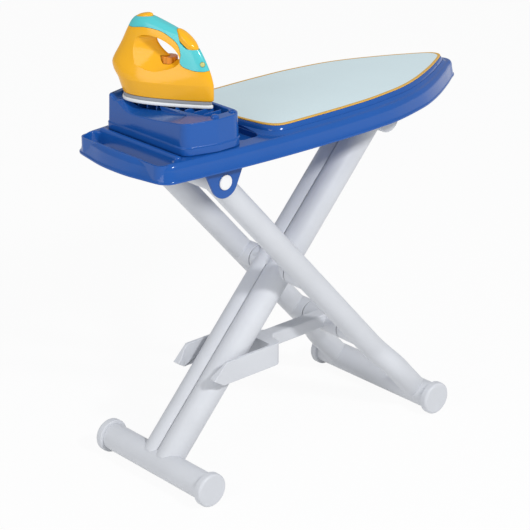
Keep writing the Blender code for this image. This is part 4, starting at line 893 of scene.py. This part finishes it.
LEG_FOOT_Y = 94.2 * MM  # where an outer leg ends, after its bend
LEG_BEND, LEG_BEND_LENGTH, LEG_STEPS = 0.78, 0.11, 60  # shares of the leg
HUB_HALF, HUB_FACE_Y = 39.8 * MM, 41.6 * MM
OUTER_FOOT_HALF, INNER_FOOT_HALF = 126.5 * MM, 115.2 * MM
OUTER_CAP_Y, INNER_CAP_Y = 140.1 * MM, 128.8 * MM
TUBE_SIDES = 64
TWIN_Y, TWIN_INSET, TWIN_STEPS = 14.8 * MM, 5 * MM, 12
SLIT_HALF, SLIT_INNER, SLIT_OUTER = 0.8 * MM, 12.5 * MM, 30 * MM
PIN_Y, PIN_LENGTH, PIN_SHAFT = 100.9 * MM, 48 * MM, 6 * MM
PIN_BORE, PIN_BORE_INNER, PIN_BORE_OUTER = 6.4 * MM, 50 * MM, 110 * MM


def tube_along(name, path, radius):
    """Round tube along a path that stays near the XZ plane."""
    turns = [2 * math.pi * k / TUBE_SIDES for k in range(TUBE_SIDES)]
    rings = []
    for i, place in enumerate(path):
        direction = (path[min(i + 1, len(path) - 1)] - path[max(i - 1, 0)]).normalized()
        across = direction.cross(Vector((0, 1, 0))).normalized()
        up = across.cross(direction)
        rings.append([place + radius * (across * math.cos(turn) + up * math.sin(turn)) for turn in turns])
    return skin(name, rings)


def outer_leg(sizes, side):
    """A straight leg that bends out towards its foot, with the bosses of its two pivots."""
    span = (OUTER_FOOT - HINGE).length
    leg_y, hub = sizes.outer_leg_y, sizes.hub_radius
    first, last = 0.001, 1 - 0.006 / span
    path = []
    for step in range(LEG_STEPS + 1):
        share = first + (last - first) * step / LEG_STEPS
        turn = min(1, max(0, (share - LEG_BEND) / LEG_BEND_LENGTH))
        across = leg_y + (LEG_FOOT_Y - leg_y) * (1 - math.cos(math.pi * turn)) / 2
        path.append(HINGE.lerp(OUTER_FOOT, share) + Vector((0, side * across, 0)))
    leg = tube_along("outer leg", path, sizes.outer_tube_radius)
    reach = leg_y - HUB_FACE_Y
    profile = [(0, reach), (hub - 1.2 * MM, reach), (hub - 0.4 * MM, reach - 0.3 * MM), (hub, reach - 1.1 * MM),
               (hub + 0.1 * MM, reach - 4 * MM), (hub + 0.3 * MM, reach - 12 * MM), (hub + 0.4 * MM, 1 * MM),
               (0, 1 * MM)]
    for place in (MAIN_PIVOT, STAY_PIVOT):
        weld(leg, turned("boss", profile, stand_along((0, -side, 0), place + Vector((0, side * leg_y, 0)))))
    return leg


def pin_bore(side):
    """Cutter for the hole that a hinge pin turns in."""
    inner, outer = (HINGE + Vector((0, side * y, 0)) for y in (PIN_BORE_INNER, PIN_BORE_OUTER))
    return round_bar("pin bore", inner, outer, PIN_BORE, 48)


def rounded_rod(name, middle, half, radius, rounding):
    """A rod across the board with rounded end edges."""
    quarter = quarter_round(6)
    profile = [(0, 2 * half)]
    profile += [(radius - rounding * side, 2 * half - rounding * end) for side, end in quarter]
    profile += [(radius - rounding * side, rounding * end) for side, end in reversed(quarter)]
    profile.append((0, 0))
    return turned(name, profile, stand_along((0, 1, 0), middle - Vector((0, half, 0))))


def foot_rod(name, middle, half, radius):
    reach = Vector((0, half, 0))
    return round_bar(name, middle - reach, middle + reach, radius)


class AddOuterFrame(bpy.types.Operator):
    """Add the outer leg frame: two legs, the tube they hang from and their foot bar"""

    bl_idname = "toy_board.add_outer_frame"
    bl_label = "Outer leg frame"

    def execute(self, context):
        sizes = context.scene.toy_frame
        radius = sizes.outer_tube_radius
        for side, label in ((-1, "near"), (1, "far")):
            leg = carve(outer_leg(sizes, side), pin_bore(side))
            set_out(leg, f"outer_leg_tube_{label}", "outer_frame", "grey", [f"outer_leg_{label}"])
        top = rounded_rod("top tube", HINGE, sizes.outer_leg_y + radius - 0.2 * MM, radius, 2.5 * MM)
        carve(top, pin_bore(-1), pin_bore(1))
        set_out(top, "outer_top_rod", "outer_frame", "grey", ["outer_top_tube"])
        foot = foot_rod("foot bar", OUTER_FOOT, OUTER_FOOT_HALF, sizes.foot_tube_radius)
        set_out(foot, "outer_foot_rod", "outer_frame", "grey", ["outer_foot_bar"])
        return {"FINISHED"}


class AddInnerFrame(bpy.types.Operator):
    """Add the inner leg frame: the twin tubes with their hub, the top bar and the foot bar"""

    bl_idname = "toy_board.add_inner_frame"
    bl_label = "Inner leg frame"

    def execute(self, context):
        sizes = context.scene.toy_frame
        start, end = TOP_BAR + INNER_DIRECTION * TWIN_INSET, INNER_FOOT - INNER_DIRECTION * TWIN_INSET
        twins = []
        for side in (-1, 1):
            shift = Vector((0, side * TWIN_Y, 0))
            path = [start.lerp(end, step / TWIN_STEPS) + shift for step in range(TWIN_STEPS + 1)]
            twins.append(tube_along("inner tube", path, sizes.inner_tube_radius))
        hub = rounded_rod("hub", MAIN_PIVOT, HUB_HALF, sizes.hub_radius, 1.0 * MM)
        twins = combine(twins[0], [twins[1]], "UNION", "MANIFOLD")
        # shadow line between the tubes: a slit from each side of them, before the hub goes through
        to_far = Vector((0, 1, 0))
        across = Matrix((INNER_DIRECTION.cross(to_far), to_far, INNER_DIRECTION)).transposed()
        slits = []
        for side in (-1, 1):
            low, high = sorted((side * SLIT_INNER, side * SLIT_OUTER))
            slit = block("slit", (low, -SLIT_HALF, -CLEAR), (high, SLIT_HALF, (end - start).length + CLEAR))
            slit.data.transform(Matrix.Translation(start) @ across.to_4x4())
            slits.append(slit)
        combine(twins, slits, "DIFFERENCE", "MANIFOLD")
        leg = combine(twins, [hub], "UNION", "MANIFOLD")
        set_out(leg, "inner_twin_tubes", "inner_frame", "grey", ["inner_leg"])
        bar = rounded_rod("top bar", TOP_BAR, INNER_BAR_HALF, sizes.inner_tube_radius, 2 * MM)
        set_out(bar, "inner_top_rod", "inner_frame", "grey", ["inner_top_bar"])
        foot = foot_rod("foot bar", INNER_FOOT, INNER_FOOT_HALF, sizes.foot_tube_radius)
        set_out(foot, "inner_foot_rod", "inner_frame", "grey", ["inner_foot_bar"])
        return {"FINISHED"}


class AddFootCaps(bpy.types.Operator):
    """Add the four round caps on the foot bars"""

    bl_idname = "toy_board.add_foot_caps"
    bl_label = "Foot caps"

    def execute(self, context):
        sizes = context.scene.toy_frame
        radius, depth, rounding, neck = sizes.cap_radius, sizes.cap_length, 4.2 * MM, 18 * MM
        profile = [(0, 0), (radius * 0.5, 0)]
        profile += [(radius - rounding * side, -rounding * end) for side, end in quarter_round(10)]
        profile += [(radius, -depth + 2.4 * MM), (radius - 0.4 * MM, -depth + 1.0 * MM),
                    (radius - 1.4 * MM, -depth + 0.2 * MM), (radius - 2.6 * MM, -depth), (neck, -depth),
                    (neck, -depth - 3 * MM), (0, -depth - 3 * MM)]
        for frame_name, centre, half in (("outer", OUTER_FOOT, OUTER_CAP_Y), ("inner", INNER_FOOT, INNER_CAP_Y)):
            for side, label in ((-1, "near"), (1, "far")):
                end = centre + Vector((0, side * half, 0))
                cap = turned("cap", profile, stand_along((0, side, 0), end), 96)
                set_out(cap, f"{frame_name}_cap_{label}", f"{frame_name}_frame", "grey",
                        [f"{frame_name}_foot_cap_{label}"])
        return {"FINISHED"}


class AddHingePins(bpy.types.Operator):
    """Add the two white hinge pins"""

    bl_idname = "toy_board.add_hinge_pins"
    bl_label = "Hinge pins"

    def execute(self, context):
        radius = context.scene.toy_frame.pin_head_radius
        profile = [(0, 3.3 * MM), (radius * 0.55, 3.2 * MM), (radius * 0.82, 2.9 * MM), (radius * 0.94, 2.3 * MM),
                   (radius, 1.4 * MM), (radius, 0), (PIN_SHAFT, 0), (PIN_SHAFT, -PIN_LENGTH), (0, -PIN_LENGTH)]
        for side, label in ((-1, "near"), (1, "far")):
            head = turned("pin", profile, stand_along((0, side, 0), (HINGE.x, side * PIN_Y, HINGE.z)))
            set_out(head, f"hinge_pin_head_{label}", "board", "white", [f"hinge_pin_{label}"])
        return {"FINISHED"}


# Stay: the base of its fork joins the prongs, which reach towards the tail and clip round the twin tubes

PRONG_INNER, PRONG_WALL = 44.5 * MM, 6 * MM
FORK_BASE, FORK_BASE_DEPTH, FORK_REACH = -0.070, 20 * MM, 116.5 * MM
FORK_SLANT = 26 * MM  # how far the sloping ends of the prongs run on
FORK_Z = 0.147
FORK_FILLETS, GAP_FILLETS = (2.8, 14, 14, 2.8), (3, 7, 7, 3)  # millimetres
LIP_Y = 38.0 * MM
STEM_HALF, STEM_GUSSET, STEM_HALF_HEIGHT = 12 * MM, 16 * MM, 11.5 * MM
STEM_RISE = 6.5 * MM  # middle of the stem above the pivot


def build_stay(sizes):
    inner, outer = PRONG_INNER, PRONG_INNER + PRONG_WALL
    base, slant, low, high = FORK_BASE, FORK_SLANT, FORK_Z, FORK_Z + sizes.prong_height
    throat, tip = base - FORK_BASE_DEPTH, base - FORK_REACH
    end, far = tip - slant - OVERRUN, tip - 2 * slant
    plans = []
    for tail, nose, half, fillets in ((end, base, outer, FORK_FILLETS), (far, throat, inner, GAP_FILLETS)):
        corners = [Vector(place) for place in ((tail, -half), (nose, -half), (nose, half), (tail, half))]
        plans.append(filleted(corners, [radius * MM for radius in fillets]))
    fork = slab("fork", plans[0], low, high)
    carve(fork, slab("gap", plans[1], low - OVERRUN, high + OVERRUN))

    # small lips on the prongs, which hold the tubes
    lips = []
    for side in (-1, 1):
        root, bite = side * (inner + 2 * MM), side * LIP_Y
        bump = [Vector((tip - slant + x * MM, y)) for x, y in ((1.5, root), (1.5, bite), (6, bite), (24, root))]
        if side > 0:
            bump.reverse()
        lips.append(slab("lip", bump, low + 1.5 * MM, high - 1.5 * MM))
    weld(fork, *lips)
    heel = tip - slant * 0.27
    corners = [Vector(place) for place in (
        (end - OVERRUN, high + OVERRUN), (end - OVERRUN, low - OVERRUN), (heel, low - OVERRUN), (heel, low),
        (tip - slant, low + sizes.prong_height / 3), (tip, high), (tip, high + OVERRUN))]
    carve(fork, slab("slope", corners, -outer - OVERRUN, outer + OVERRUN, matrix=LAID_ALONG_Y))
    softened(fork, 1.2 * MM)

    stem_z, half, pivot = STAY_PIVOT.z + STEM_RISE, STEM_HALF, STAY_PIVOT.x
    flank = [Vector(place) for place in ((base - 10 * MM, -half - STEM_GUSSET), (base, -half - STEM_GUSSET),
                                         (base + STEM_GUSSET, -half), (pivot, -half))]
    stem_plan = flank + [Vector((point.x, -point.y)) for point in reversed(flank)]
    stem_plan = stem_plan[-1:] + stem_plan[:-1]
    stem = slab("stem", stem_plan, stem_z - STEM_HALF_HEIGHT, stem_z + STEM_HALF_HEIGHT, 3 * MM)
    return weld(fork, stem, rounded_rod("stay hub", STAY_PIVOT, HUB_HALF, sizes.hub_radius, 1.0 * MM))


class AddStay(bpy.types.Operator):
    """Add the forked stay"""

    bl_idname = "toy_board.add_stay"
    bl_label = "Forked stay"

    def execute(self, context):
        fork = build_stay(context.scene.toy_frame)
        set_out(fork, "stay_moulding", "stay", "grey", ["stay_fork"], sharp=30)
        return {"FINISHED"}


# Iron: lengths and heights are shares of its own, +X is its front, and its heel stands at the origin

# Sections above the band: height, rear end, front end, half width, how pointed the front is
IRON_SECTIONS = (
    (0.085, -0.075, 0.985, 0.88, 0.60), (0.105, -0.095, 1.0, 0.90, 0.59), (0.245, -0.140, 1.0, 0.985, 0.54),
    (0.280, -0.160, 0.996, 0.985, 0.52), (0.340, -0.200, 0.982, 0.94, 0.48), (0.415, -0.222, 0.958, 0.84, 0.42),
    (0.490, -0.195, 0.926, 0.745, 0.36),
    (0.585, -0.142, 0.880, 0.66, 0.30), (0.680, -0.093, 0.822, 0.60, 0.25), (0.770, -0.052, 0.740, 0.56, 0.20),
    (0.830, -0.022, 0.662, 0.53, 0.16), (0.872, 0.000, 0.565, 0.50, 0.12), (0.908, 0.022, 0.470, 0.46, 0.08),
    (0.945, 0.055, 0.370, 0.38, 0.04), (0.972, 0.090, 0.300, 0.26, 0.0), (0.980, 0.125, 0.255, 0.12, 0.0),
)
# Seam between body and cover, from behind the iron to before it
SEAM = (
    (-0.40, 0.845), (0.05, 0.845), (0.236, 0.868), (0.42, 0.845), (0.54, 0.784), (0.624, 0.708), (0.658, 0.608),
    (0.662, 0.495), (0.776, 0.440), (0.897, 0.427), (0.995, 0.446), (1.25, 0.480),
)
SEAM_GAP = 0.3 * MM
SEAM_CUT_HALF, SEAM_CUT_RISE = 40 * MM, 8 * MM
PLAN_POWER = 0.8  # below 1 makes the plan fuller than an oval

# Finger loop, from its throat in the middle to its mouth: centre, and reach along and up
THROAT, THROAT_REACH, THROAT_LEAN = (0.487, 0.646), (0.186, 0.080), -34
MOUTH, MOUTH_REACH, MOUTH_LEAN = (0.322, 0.590), (0.335, 0.196), -10
LOOP_CUT, THROAT_FLAT, DISH_POWER = 1.5, 0.05, 1.3  # cutter in shares of the loop's depth, and the dish's curve
LOOP_SIDES, LOOP_STEPS, PEG_SIDES = 96, 30, 64

# Middles of the buttons, the lens and the dial
REAR_BUTTON, REAR_HALVES, REAR_RISE = (0.170, 0.885), (14.5 * MM, 7.5 * MM), 15.1 * MM
REAR_SLOPE = math.tan(math.radians(14))
FRONT_BUTTON, FRONT_HALVES, FRONT_RISE = (0.698, 0.758), (22 * MM, 10.5 * MM), 5.5 * MM
FRONT_TILT = math.radians(41)
BUTTON_DOME = 5.5 * MM
# Pockets of the buttons: half length, half width, floor and top of the cutter
REAR_POCKET, FRONT_POCKET = (15.2, 8.2, -2.3, 22), (22.5, 11.0, -7.3, 12)  # millimetres
LENS, LENS_HEADING, LENS_TILT = (0.8677, 0.4945), math.radians(-57.3), math.radians(14.7)
LENS_ROOT, LENS_BORE = (2.8 * MM, 16 * MM), 4.0 * MM
# Profiles in millimetres: radius and height; the dial's radius is in shares
LENS_PROFILE = ((0, 7.1), (1.2, 7.05), (2.3, 6.9), (3.1, 6.65), (3.5, 6.3), (3.6, 5.9), (3.6, 3.1), (0, 3.1))
DIAL, DIAL_RADIUS, DIAL_KNURLS, KNURL_DEPTH = (0.470, 0.469), 12.5 * MM, 12, 0.03
DIAL_PROFILE = ((0.95, 0), (1, 0.4), (1, 5), (1, 9.0), (0.97, 9.7), (0.92, 10), (0.3, 10))
SEAT_RADIUS, SEAT_FLOOR, SEAT_TOP = 13.4 * MM, -0.3 * MM, 10.3 * MM

# Sole and band: millimetres
SOLE_REAR, SOLE_FRONT, SOLE_HALF, SOLE_POINT, SOLE_SIDES = -13 * MM, 136 * MM, 28 * MM, 0.58, 160
SOLE_LEVELS = ((1.6, 0), (0.5, 0.3), (0.1, 1.0), (0, 2.0), (0, 3.6), (0.3, 4.5), (1.0, 5.1), (2.2, 5.2))
BAND_INSET = 1.6 * MM
BAND_LEVELS = ((1.0, 5.3), (0.2, 5.6), (0, 6.2), (0.1, 9.4), (0.6, 10.0), (1.4, 10.3))


def iron_place():
    heading = bpy.context.scene.toy_iron.heading
    return Matrix.Translation(IRON_HEEL) @ Matrix.Rotation(heading, 4, "Z")


def iron_ring(rear, front, half_width, point_share, sides=96):
    """Flat-iron plan along +X: blunt at the rear, drawn to a point at the front."""
    middle, reach = (rear + front) / 2, (front - rear) / 2
    places = []
    for i in range(sides):
        angle = 2 * math.pi * i / sides
        fullness = math.copysign(abs(math.sin(angle)) ** PLAN_POWER, math.sin(angle))
        places.append((middle + reach * math.cos(angle), fullness * (1 - point_share * math.cos(angle))))
    widest = max(across for _, across in places)
    return [Vector((along, half_width * across / widest)) for along, across in places]


def iron_form(sizes):
    rings = []
    for height, rear, front, width, point in eased(IRON_SECTIONS, 4):
        ring = iron_ring(rear * sizes.length, front * sizes.length, width * sizes.half_width, point)
        rings.append(at_height(ring, height * sizes.height))
    return skin("iron form", rings)


def finger_loop(sizes):
    """Cutter for the finger loop: wide dishes that narrow to a small leaning throat in the middle."""
    throat, mouth = on_iron(sizes, *THROAT), on_iron(sizes, *MOUTH)
    small, wide = on_iron(sizes, *THROAT_REACH), on_iron(sizes, *MOUTH_REACH)
    turns = [2 * math.pi * k / LOOP_SIDES for k in range(LOOP_SIDES)]
    rings = []
    for step in range(-LOOP_STEPS, LOOP_STEPS + 1):
        place = LOOP_CUT * step / LOOP_STEPS
        share = min(1, math.hypot(place, THROAT_FLAT) ** DISH_POWER)
        centre, reach = throat.lerp(mouth, share), small.lerp(wide, share)
        lean = math.radians(THROAT_LEAN + (MOUTH_LEAN - THROAT_LEAN) * share)
        ring = []
        for turn in turns:
            offset = Matrix.Rotation(lean, 2) @ Vector((reach.x * math.cos(turn), reach.z * math.sin(turn)))
            ring.append(centre + Vector((offset.x, place * sizes.loop_depth, offset.y)))
        rings.append(ring)
    return skin("finger loop", rings)


def above_seam(sizes, shift):
    """Cutter for all that lies above the seam, shifted along and up."""
    seam = [Vector((x * sizes.length, z * sizes.height)) for x, z in SEAM]
    last = len(seam) - 1
    outline = []
    for i in range(last):
        outline += bezier_span(seam[max(i - 1, 0)], seam[i], seam[i + 1], seam[min(i + 2, last)], CURVE_STEPS)
    top = sizes.height + SEAM_CUT_RISE
    outline += [seam[last], Vector((seam[last].x, top)), Vector((seam[0].x, top))]
    stand = Matrix.Translation((shift, 0, shift)) @ LAID_ALONG_Y
    return slab("above seam", outline, -SEAM_CUT_HALF, SEAM_CUT_HALF, matrix=stand)


def on_iron(sizes, along, up):
    return Vector((along * sizes.length, 0, up * sizes.height))


def oval_peg(name, halves, low, high, matrix, dome=0.0, slope=0.0):
    """An oval peg about its own Z, with a domed top if asked; its top and base rise along X by the slope."""
    levels = [(1, low), (1, high - dome)]
    if dome:
        levels += [(math.cos(math.radians(a)) ** 0.8, high - dome + dome * math.sin(math.radians(a)))
                   for a in range(9, 90, 9)]
    turns = [2 * math.pi * k / PEG_SIDES for k in range(PEG_SIDES)]
    rings = [[matrix @ Vector((halves[0] * share * math.cos(turn), halves[1] * share * math.sin(turn),
                               z + slope * halves[0] * share * math.cos(turn))) for turn in turns]
             for share, z in levels]
    return skin(name, rings)


def rear_frame(sizes):
    return Matrix.Translation(on_iron(sizes, *REAR_BUTTON))


def front_frame(sizes):
    return Matrix.Translation(on_iron(sizes, *FRONT_BUTTON)) @ Matrix.Rotation(FRONT_TILT, 4, "Y")


def lens_frame(sizes):
    axis = Vector((math.cos(LENS_HEADING), math.sin(LENS_HEADING), math.tan(LENS_TILT)))
    return stand_along(axis.normalized(), on_iron(sizes, *LENS))


def pockets(sizes):
    """Cutters for the pockets that the two buttons slide in."""
    made = []
    for name, pocket, matrix, slope in (("rear pocket", REAR_POCKET, rear_frame(sizes), REAR_SLOPE),
                                        ("front pocket", FRONT_POCKET, front_frame(sizes), 0)):
        half_length, half_width, low, high = (size * MM for size in pocket)
        made.append(oval_peg(name, (half_length, half_width), low, high, matrix, slope=slope))
    return made


def knurled_dial(sizes):
    centre = on_iron(sizes, *DIAL)
    turns = [2 * math.pi * k / (12 * DIAL_KNURLS) for k in range(12 * DIAL_KNURLS)]
    rings = []
    for share, z in DIAL_PROFILE:
        ring = []
        for turn in turns:
            depth = KNURL_DEPTH * (share > 0.9) * (1 + math.cos(DIAL_KNURLS * turn))
            reach = DIAL_RADIUS * share * (1 - depth)
            ring.append(centre + Vector((reach * math.cos(turn), reach * math.sin(turn), z * MM)))
        rings.append(ring)
    return skin("dial", rings)


class AddIronBody(bpy.types.Operator):
    """Add the iron's yellow body and the turquoise cover of its handle"""

    bl_idname = "toy_board.add_iron_body"
    bl_label = "Iron body and cover"

    def execute(self, context):
        sizes = context.scene.toy_iron
        floor, top = (on_iron(sizes, *DIAL) + Vector((0, 0, z)) for z in (SEAT_FLOOR, SEAT_TOP))
        seat = round_bar("dial seat", floor, top, SEAT_RADIUS)
        body = carve(iron_form(sizes), finger_loop(sizes), above_seam(sizes, -SEAM_GAP), seat, *pockets(sizes))
        cover = combine(iron_form(sizes), [above_seam(sizes, SEAM_GAP)], "INTERSECT")
        root, end = (lens_frame(sizes) @ Vector((0, 0, z)) for z in LENS_ROOT)
        bore = round_bar("lens bore", root, end, LENS_BORE, 40)
        carve(cover, finger_loop(sizes), bore, *pockets(sizes))
        for obj in (body, cover):
            obj.data.transform(iron_place())
        set_out(body, "iron_moulding", "iron", "yellow", ["iron_body"], sharp=30)
        set_out(cover, "iron_cover_moulding", "iron", "turquoise", ["iron_handle_cover"], sharp=30)
        return {"FINISHED"}


class AddIronSole(bpy.types.Operator):
    """Add the iron's pale sole and the grey band above it"""

    bl_idname = "toy_board.add_iron_sole"
    bl_label = "Iron sole"

    def execute(self, context):
        for name, slot, node, inset, levels in (
                ("iron_sole", "pale", "iron_soleplate", 0, SOLE_LEVELS),
                ("iron_band", "band", "iron_skirt", BAND_INSET, BAND_LEVELS)):
            plan = iron_ring(SOLE_REAR + inset, SOLE_FRONT - inset, SOLE_HALF - inset, SOLE_POINT, SOLE_SIDES)
            made = skin(name, [at_height(grown(plan, -inward * MM), z * MM) for inward, z in levels])
            made.data.transform(iron_place())
            set_out(made, name, "iron", slot, [node], sharp=40)
        return {"FINISHED"}


class AddIronControls(bpy.types.Operator):
    """Add the iron's two buttons, its lens and its dial"""

    bl_idname = "toy_board.add_iron_controls"
    bl_label = "Iron controls"

    def execute(self, context):
        sizes = context.scene.toy_iron
        rear = oval_peg("rear button", REAR_HALVES, 0, REAR_RISE, rear_frame(sizes), BUTTON_DOME, REAR_SLOPE)
        front = oval_peg("front button", FRONT_HALVES, -FRONT_RISE, FRONT_RISE, front_frame(sizes), BUTTON_DOME)
        lens = turned("lens", in_millimetres(LENS_PROFILE), lens_frame(sizes), 40)
        for obj, name, slot, finish, body, node in (
                (rear, "rear_button", "yellow", "yellow", "rear_button", "iron_rear_button"),
                (front, "front_button", "yellow", "yellow", "front_button", "iron_front_button"),
                (lens, "indicator_lens", "yellow", "lens", "iron", "iron_indicator_lens"),
                (knurled_dial(sizes), "grip_dial", "orange", "orange", "dial", "iron_dial")):
            obj.data.transform(iron_place())
            set_out(obj, name, body, slot, [node], sharp=35, finish=finish)
        return {"FINISHED"}


class DressFasteners(bpy.types.Operator):
    """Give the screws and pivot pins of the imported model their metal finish"""

    bl_idname = "toy_board.dress_fasteners"
    bl_label = "Fasteners"

    def execute(self, context):
        steel = finish_for("steel")
        screws = [f"rest_screw_{number}" for number in range(1, 5)]
        for name in (*screws, "main_pivot_pin", "stay_pin"):
            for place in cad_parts[name].material_slots:
                place.material = steel
        return {"FINISHED"}


# Stage

WHITE = (1, 1, 1, 1)
SKY_COLOUR = (0.96, 0.98, 1.0, 1)
FLOOR_SHADES = (0.79, 0.79, 0.79, 1), (0.81, 0.81, 0.81, 1)
FLOOR_HALF, FLOOR_GLOW = 12, 0.94
# place, target, side and share of the lamp power
MAIN_LAMP = (0.0, -2.4, 2.2), (0, 0, 0.35), 0.32, 1
SIDE_LAMP = (-2.5, -0.4, 1.3), (0, 0, 0.4), 1.6, 0.4
SENSOR_WIDTH = 36  # millimetres


def studio_white(name, share):
    """Pale floor that glows white to the camera and in reflections by a share; the rest takes the shadows."""
    finish = Finish(name)
    camera, glossy, through = (finish.add("ShaderNodeLightPath", {}, {}, f"Is {ray} Ray")
                               for ray in ("Camera", "Glossy", "Transmission"))
    glow = finish.add("ShaderNodeEmission", {}, {"Color": WHITE, "Strength": 1.0})
    finish.set(Base_Color=finish.blend(finish.noise(3, 2), *FLOOR_SHADES), Roughness=0.9)
    plain = Wire(finish, finish.shader.outputs[0])
    mixed = finish.add("ShaderNodeMixShader", {}, {0: (camera + glossy + through) * share, 1: plain, 2: glow})
    finish.feed(finish.tree.nodes["Material Output"].inputs["Surface"], mixed)
    return finish.material


def white_sky(world, strength):
    """Even light from all round, which the camera sees as plain white."""
    world.use_nodes = True
    nodes = Nodes(world.node_tree)
    sky = world.node_tree.nodes["Background"]
    nodes.feed(sky.inputs["Color"], SKY_COLOUR)
    nodes.feed(sky.inputs["Strength"], strength)
    white = nodes.add("ShaderNodeBackground", {}, {"Color": WHITE})
    seen = nodes.add("ShaderNodeLightPath", {}, {}, "Is Camera Ray")
    mixed = nodes.add("ShaderNodeMixShader", {}, {0: seen, 1: Wire(nodes, sky.outputs[0]), 2: white})
    nodes.feed(world.node_tree.nodes["World Output"].inputs["Surface"], mixed)


def lamp(name, place, target, side, power):
    data = bpy.data.lights.new(name, "AREA")
    data.shape = "RECTANGLE"
    data.size = data.size_y = side
    data.energy = power
    obj = bpy.data.objects.new(name, data)
    bpy.context.scene.collection.objects.link(obj)
    place, target = Vector(place), Vector(target)
    obj.matrix_world = stand_along(place - target, place)


def aimed_camera(studio):
    data = bpy.data.cameras.new("camera")
    data.sensor_width = SENSOR_WIDTH
    data.lens = studio.focal_length
    data.shift_x, data.shift_y = studio.shift
    camera = bpy.data.objects.new("camera", data)
    bpy.context.scene.collection.objects.link(camera)
    azimuth, elevation = studio.azimuth, studio.elevation
    back = Vector((math.sin(azimuth) * math.cos(elevation), -math.cos(azimuth) * math.cos(elevation),
                   math.sin(elevation)))
    right = (-back).cross(Vector((0, 0, 1))).normalized()
    up = right.cross(-back)
    turned_right = math.cos(studio.roll) * right + math.sin(studio.roll) * up
    turned_up = math.cos(studio.roll) * up - math.sin(studio.roll) * right
    turn = Matrix((turned_right, turned_up, back)).transposed().to_4x4()
    camera.matrix_world = Matrix.Translation(Vector(studio.camera_place)) @ turn
    return camera


class SetStage(bpy.types.Operator):
    """Add the pale floor, the light from all round, the lamps and the camera"""

    bl_idname = "toy_board.set_stage"
    bl_label = "Stage"

    def execute(self, context):
        studio = context.scene.toy_studio
        bm = bmesh.new()
        bmesh.ops.create_grid(bm, x_segments=1, y_segments=1, size=FLOOR_HALF)
        floor = piece_from(bm, "floor")
        floor.data.materials.append(studio_white("studio floor", FLOOR_GLOW))
        context.scene.world = bpy.data.worlds.new("studio")
        white_sky(context.scene.world, studio.sky)
        for name, (place, target, side, share) in (("main lamp", MAIN_LAMP), ("side lamp", SIDE_LAMP)):
            lamp(name, place, target, side, studio.lamp_power * share)
        context.scene.camera = aimed_camera(studio)
        context.scene.view_settings.view_transform = "Standard"
        return {"FINISHED"}


# Add-on

OPERATORS = (AddBoard, AddPad, AddIronRest, AddOuterFrame, AddInnerFrame, AddFootCaps, AddHingePins, AddStay,
             AddIronBody, AddIronSole, AddIronControls, DressFasteners, SetStage)
GROUPS = {"toy_board": BoardSizes, "toy_frame": FrameSizes, "toy_iron": IronSizes, "toy_finishes": Finishes,
          "toy_studio": Studio}


class ToyBoardPanel(bpy.types.Panel):
    """Lists the pieces of the toy ironing board"""

    bl_idname = "VIEW3D_PT_toy_board"
    bl_label = "Toy ironing board"
    bl_space_type = "VIEW_3D"
    bl_region_type = "UI"
    bl_category = "Toy Board"

    def draw(self, context):
        for group in GROUPS:
            box = self.layout.box()
            settings = getattr(context.scene, group)
            for key in settings.__annotations__:
                box.prop(settings, key)
        for kind in OPERATORS:
            self.layout.operator(kind.bl_idname)


def register():
    for kind in (*GROUPS.values(), *OPERATORS, ToyBoardPanel):
        bpy.utils.register_class(kind)
    for name, group in GROUPS.items():
        setattr(bpy.types.Scene, name, PointerProperty(type=group))


def unregister():
    for name in GROUPS:
        delattr(bpy.types.Scene, name)
    for kind in reversed((*GROUPS.values(), *OPERATORS, ToyBoardPanel)):
        bpy.utils.unregister_class(kind)


def main():
    register()
    for kind in OPERATORS:
        group, call = kind.bl_idname.split(".")
        getattr(getattr(bpy.ops, group), call)()


if __name__ == "__main__":
    main()
